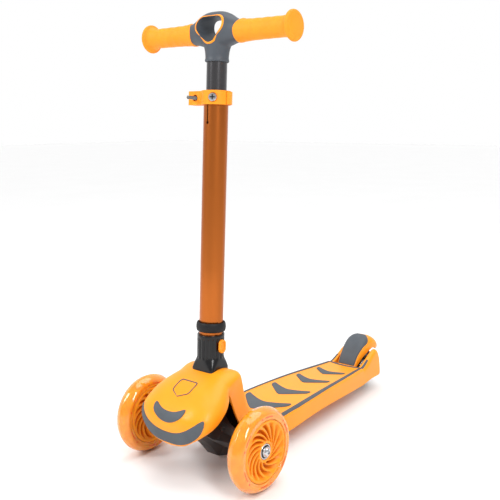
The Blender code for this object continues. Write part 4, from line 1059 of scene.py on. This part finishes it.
def make_grip(side, word):
    """Soft grip with finger hollows, a slanted inner lip and a domed hand guard."""
    profile = smooth_rows(mm((40.5, 14.1), (40.7, 15), (41.4, 15.7), (44, 15.8), (48, 15.2),
                             (56, 14.6), (70, 14.1), (90, 13.9), (108, 13.8), (118, 14.1),
                             (122.5, 15), (125, 16.4), (126.6, 18.5), (127.6, 19.9), (129.2, 20.3),
                             (130.6, 19.9), (131.8, 18.6), (132.5, 16.8), (132.9, 15),
                             (132.6, 13.8), (133, 12.6), (133.5, 9), (133.7, 4.5),
                             (133.7, 0.1)), 110)
    rings = []
    count = 96
    for x, radius in profile:
        ring = []
        near = min(max((0.056 - x) / 0.015, 0), 1)
        for k in range(count):
            angle = 2 * math.pi * k / count
            c, s = math.cos(angle), math.sin(angle)
            shift = near * (0.0034 * s * abs(s) + 0.004 * (s * s) - 0.0022)
            along = min(max((x - 0.054) / 0.006, 0), 1) * min(max((0.119 - x) / 0.006, 0), 1)
            wave = math.cos(2 * math.pi * (x - 0.056) / 0.0158)
            front = max(-c * 0.85 + 0.35, 0)
            bulge = 0.00035 * along * front * wave
            ring.append((side * (x + shift), (radius + bulge) * c, (radius + bulge) * s))
        rings.append(ring)
    bore = [[(side * 0.0405, 0.0114 * math.cos(2 * math.pi * k / count),
              0.0114 * math.sin(2 * math.pi * k / count)) for k in range(count)]]
    piece(f"grip_rubber_{word}", loft(bore + rings), "grip", "handlebar",
          replaces=(f"grip_{word}",), space=BAR, sharp=70)


# ---------------------------------------------------------------- build

shell_tree = make_shell()
make_deck_inlays(shell_tree)
make_nose_inlays(shell_tree)
for wheel_prefix, wheel_side in (("left", -1), ("right", 1)):
    make_front_wheel(wheel_prefix, wheel_side)
make_rear_wheel()
make_truck()
make_brake()
make_socket()
make_column()
make_clamp()
make_bar_joint()
make_grip(-1, "left")
make_grip(1, "right")

CARRIED = {
    "truck": ("steering_head", "kingpin_spacer", "rear_spacer_left", "rear_spacer_right"),
    "rubber": ("steering_bushing",),
    "dark_steel": ("kingpin", "kingpin_nut", "front_axle", "rear_axle", "brake_pin"),
    "steel": ("lever_pin",),
    "gunmetal": ("bar_tube_left", "bar_tube_right"),
}
for finish, names in CARRIED.items():
    for node_name in names:
        for material_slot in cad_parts[node_name].material_slots:
            material_slot.material = MATERIALS[finish]


# ---------------------------------------------------------------- floor, light and camera

def make_floor():
    bm = bmesh.new()
    bmesh.ops.create_grid(bm, x_segments=2, y_segments=2, size=14.0)
    mesh = bpy.data.meshes.new("floor")
    bm.to_mesh(mesh)
    bm.free()
    floor = bpy.data.objects.new("floor", mesh)
    bpy.context.scene.collection.objects.link(floor)
    mesh.materials.append(surface("floor_paint", (0.86, 0.86, 0.86), 0.6, vary=0.01, patch=3,
                                  grain=60))


def make_light(name, location, target, size, power):
    light = bpy.data.lights.new(name, "AREA")
    light.shape = "RECTANGLE"
    light.size, light.size_y = size
    light.energy = power
    obj = bpy.data.objects.new(name, light)
    bpy.context.scene.collection.objects.link(obj)
    obj.location = location
    obj.rotation_euler = (Vector(target) - Vector(location)).to_track_quat("-Z", "Y").to_euler()


def make_studio():
    make_floor()
    world = bpy.data.worlds.new("studio")
    bpy.context.scene.world = world
    world.use_nodes = True
    nodes, links = world.node_tree.nodes, world.node_tree.links
    nodes["Background"].inputs["Color"].default_value = (1, 1, 1, 1)
    heading = nodes.new("ShaderNodeVectorMath")
    heading.operation = "DOT_PRODUCT"
    heading.inputs[1].default_value = (-0.62, 0.78, 0.0)
    links.new(nodes.new("ShaderNodeTexCoord").outputs["Generated"], heading.inputs[0])
    glow = nodes.new("ShaderNodeMapRange")
    glow.inputs["From Min"].default_value = -0.1
    glow.inputs["From Max"].default_value = 0.75
    glow.inputs["To Min"].default_value = 0.52
    glow.inputs["To Max"].default_value = 1.0
    links.new(heading.outputs["Value"], glow.inputs["Value"])
    links.new(glow.outputs["Result"], nodes["Background"].inputs["Strength"])
    middle = (0, -0.05, 0.2)
    make_light("key", (-0.85, -1.65, 1.55), middle, (0.55, 1.1), 24)
    make_light("fill", (1.45, -0.9, 1.5), middle, (0.4, 1.0), 20)
    sun = bpy.data.lights.new("sky", "SUN")
    sun.energy = 1.5
    sun.angle = math.radians(50)
    sky = bpy.data.objects.new("sky", sun)
    bpy.context.scene.collection.objects.link(sky)
    sky.rotation_euler = (math.radians(-14), math.radians(6), 0)


def make_camera():
    azimuth, pitch, roll = math.radians(38.67), math.radians(9.77), math.radians(-0.21)
    forward = Vector((-math.sin(azimuth) * math.cos(pitch), math.cos(azimuth) * math.cos(pitch),
                      -math.sin(pitch)))
    right = forward.cross(Vector((0, 0, 1))).normalized()
    up = right.cross(forward)
    across = right * math.cos(roll) + up * math.sin(roll)
    along = up * math.cos(roll) - right * math.sin(roll)
    data = bpy.data.cameras.new("camera")
    data.lens = 53.88
    data.sensor_width = 36.0
    camera = bpy.data.objects.new("camera", data)
    bpy.context.scene.collection.objects.link(camera)
    rotation = Matrix((across, along, -forward)).transposed().to_4x4()
    camera.matrix_world = Matrix.Translation((0.7029, -0.9715, 0.5041)) @ rotation
    bpy.context.scene.camera = camera


make_studio()
make_camera()
bpy.context.scene.view_settings.view_transform = "Standard"

bpy.context.view_layer.update()
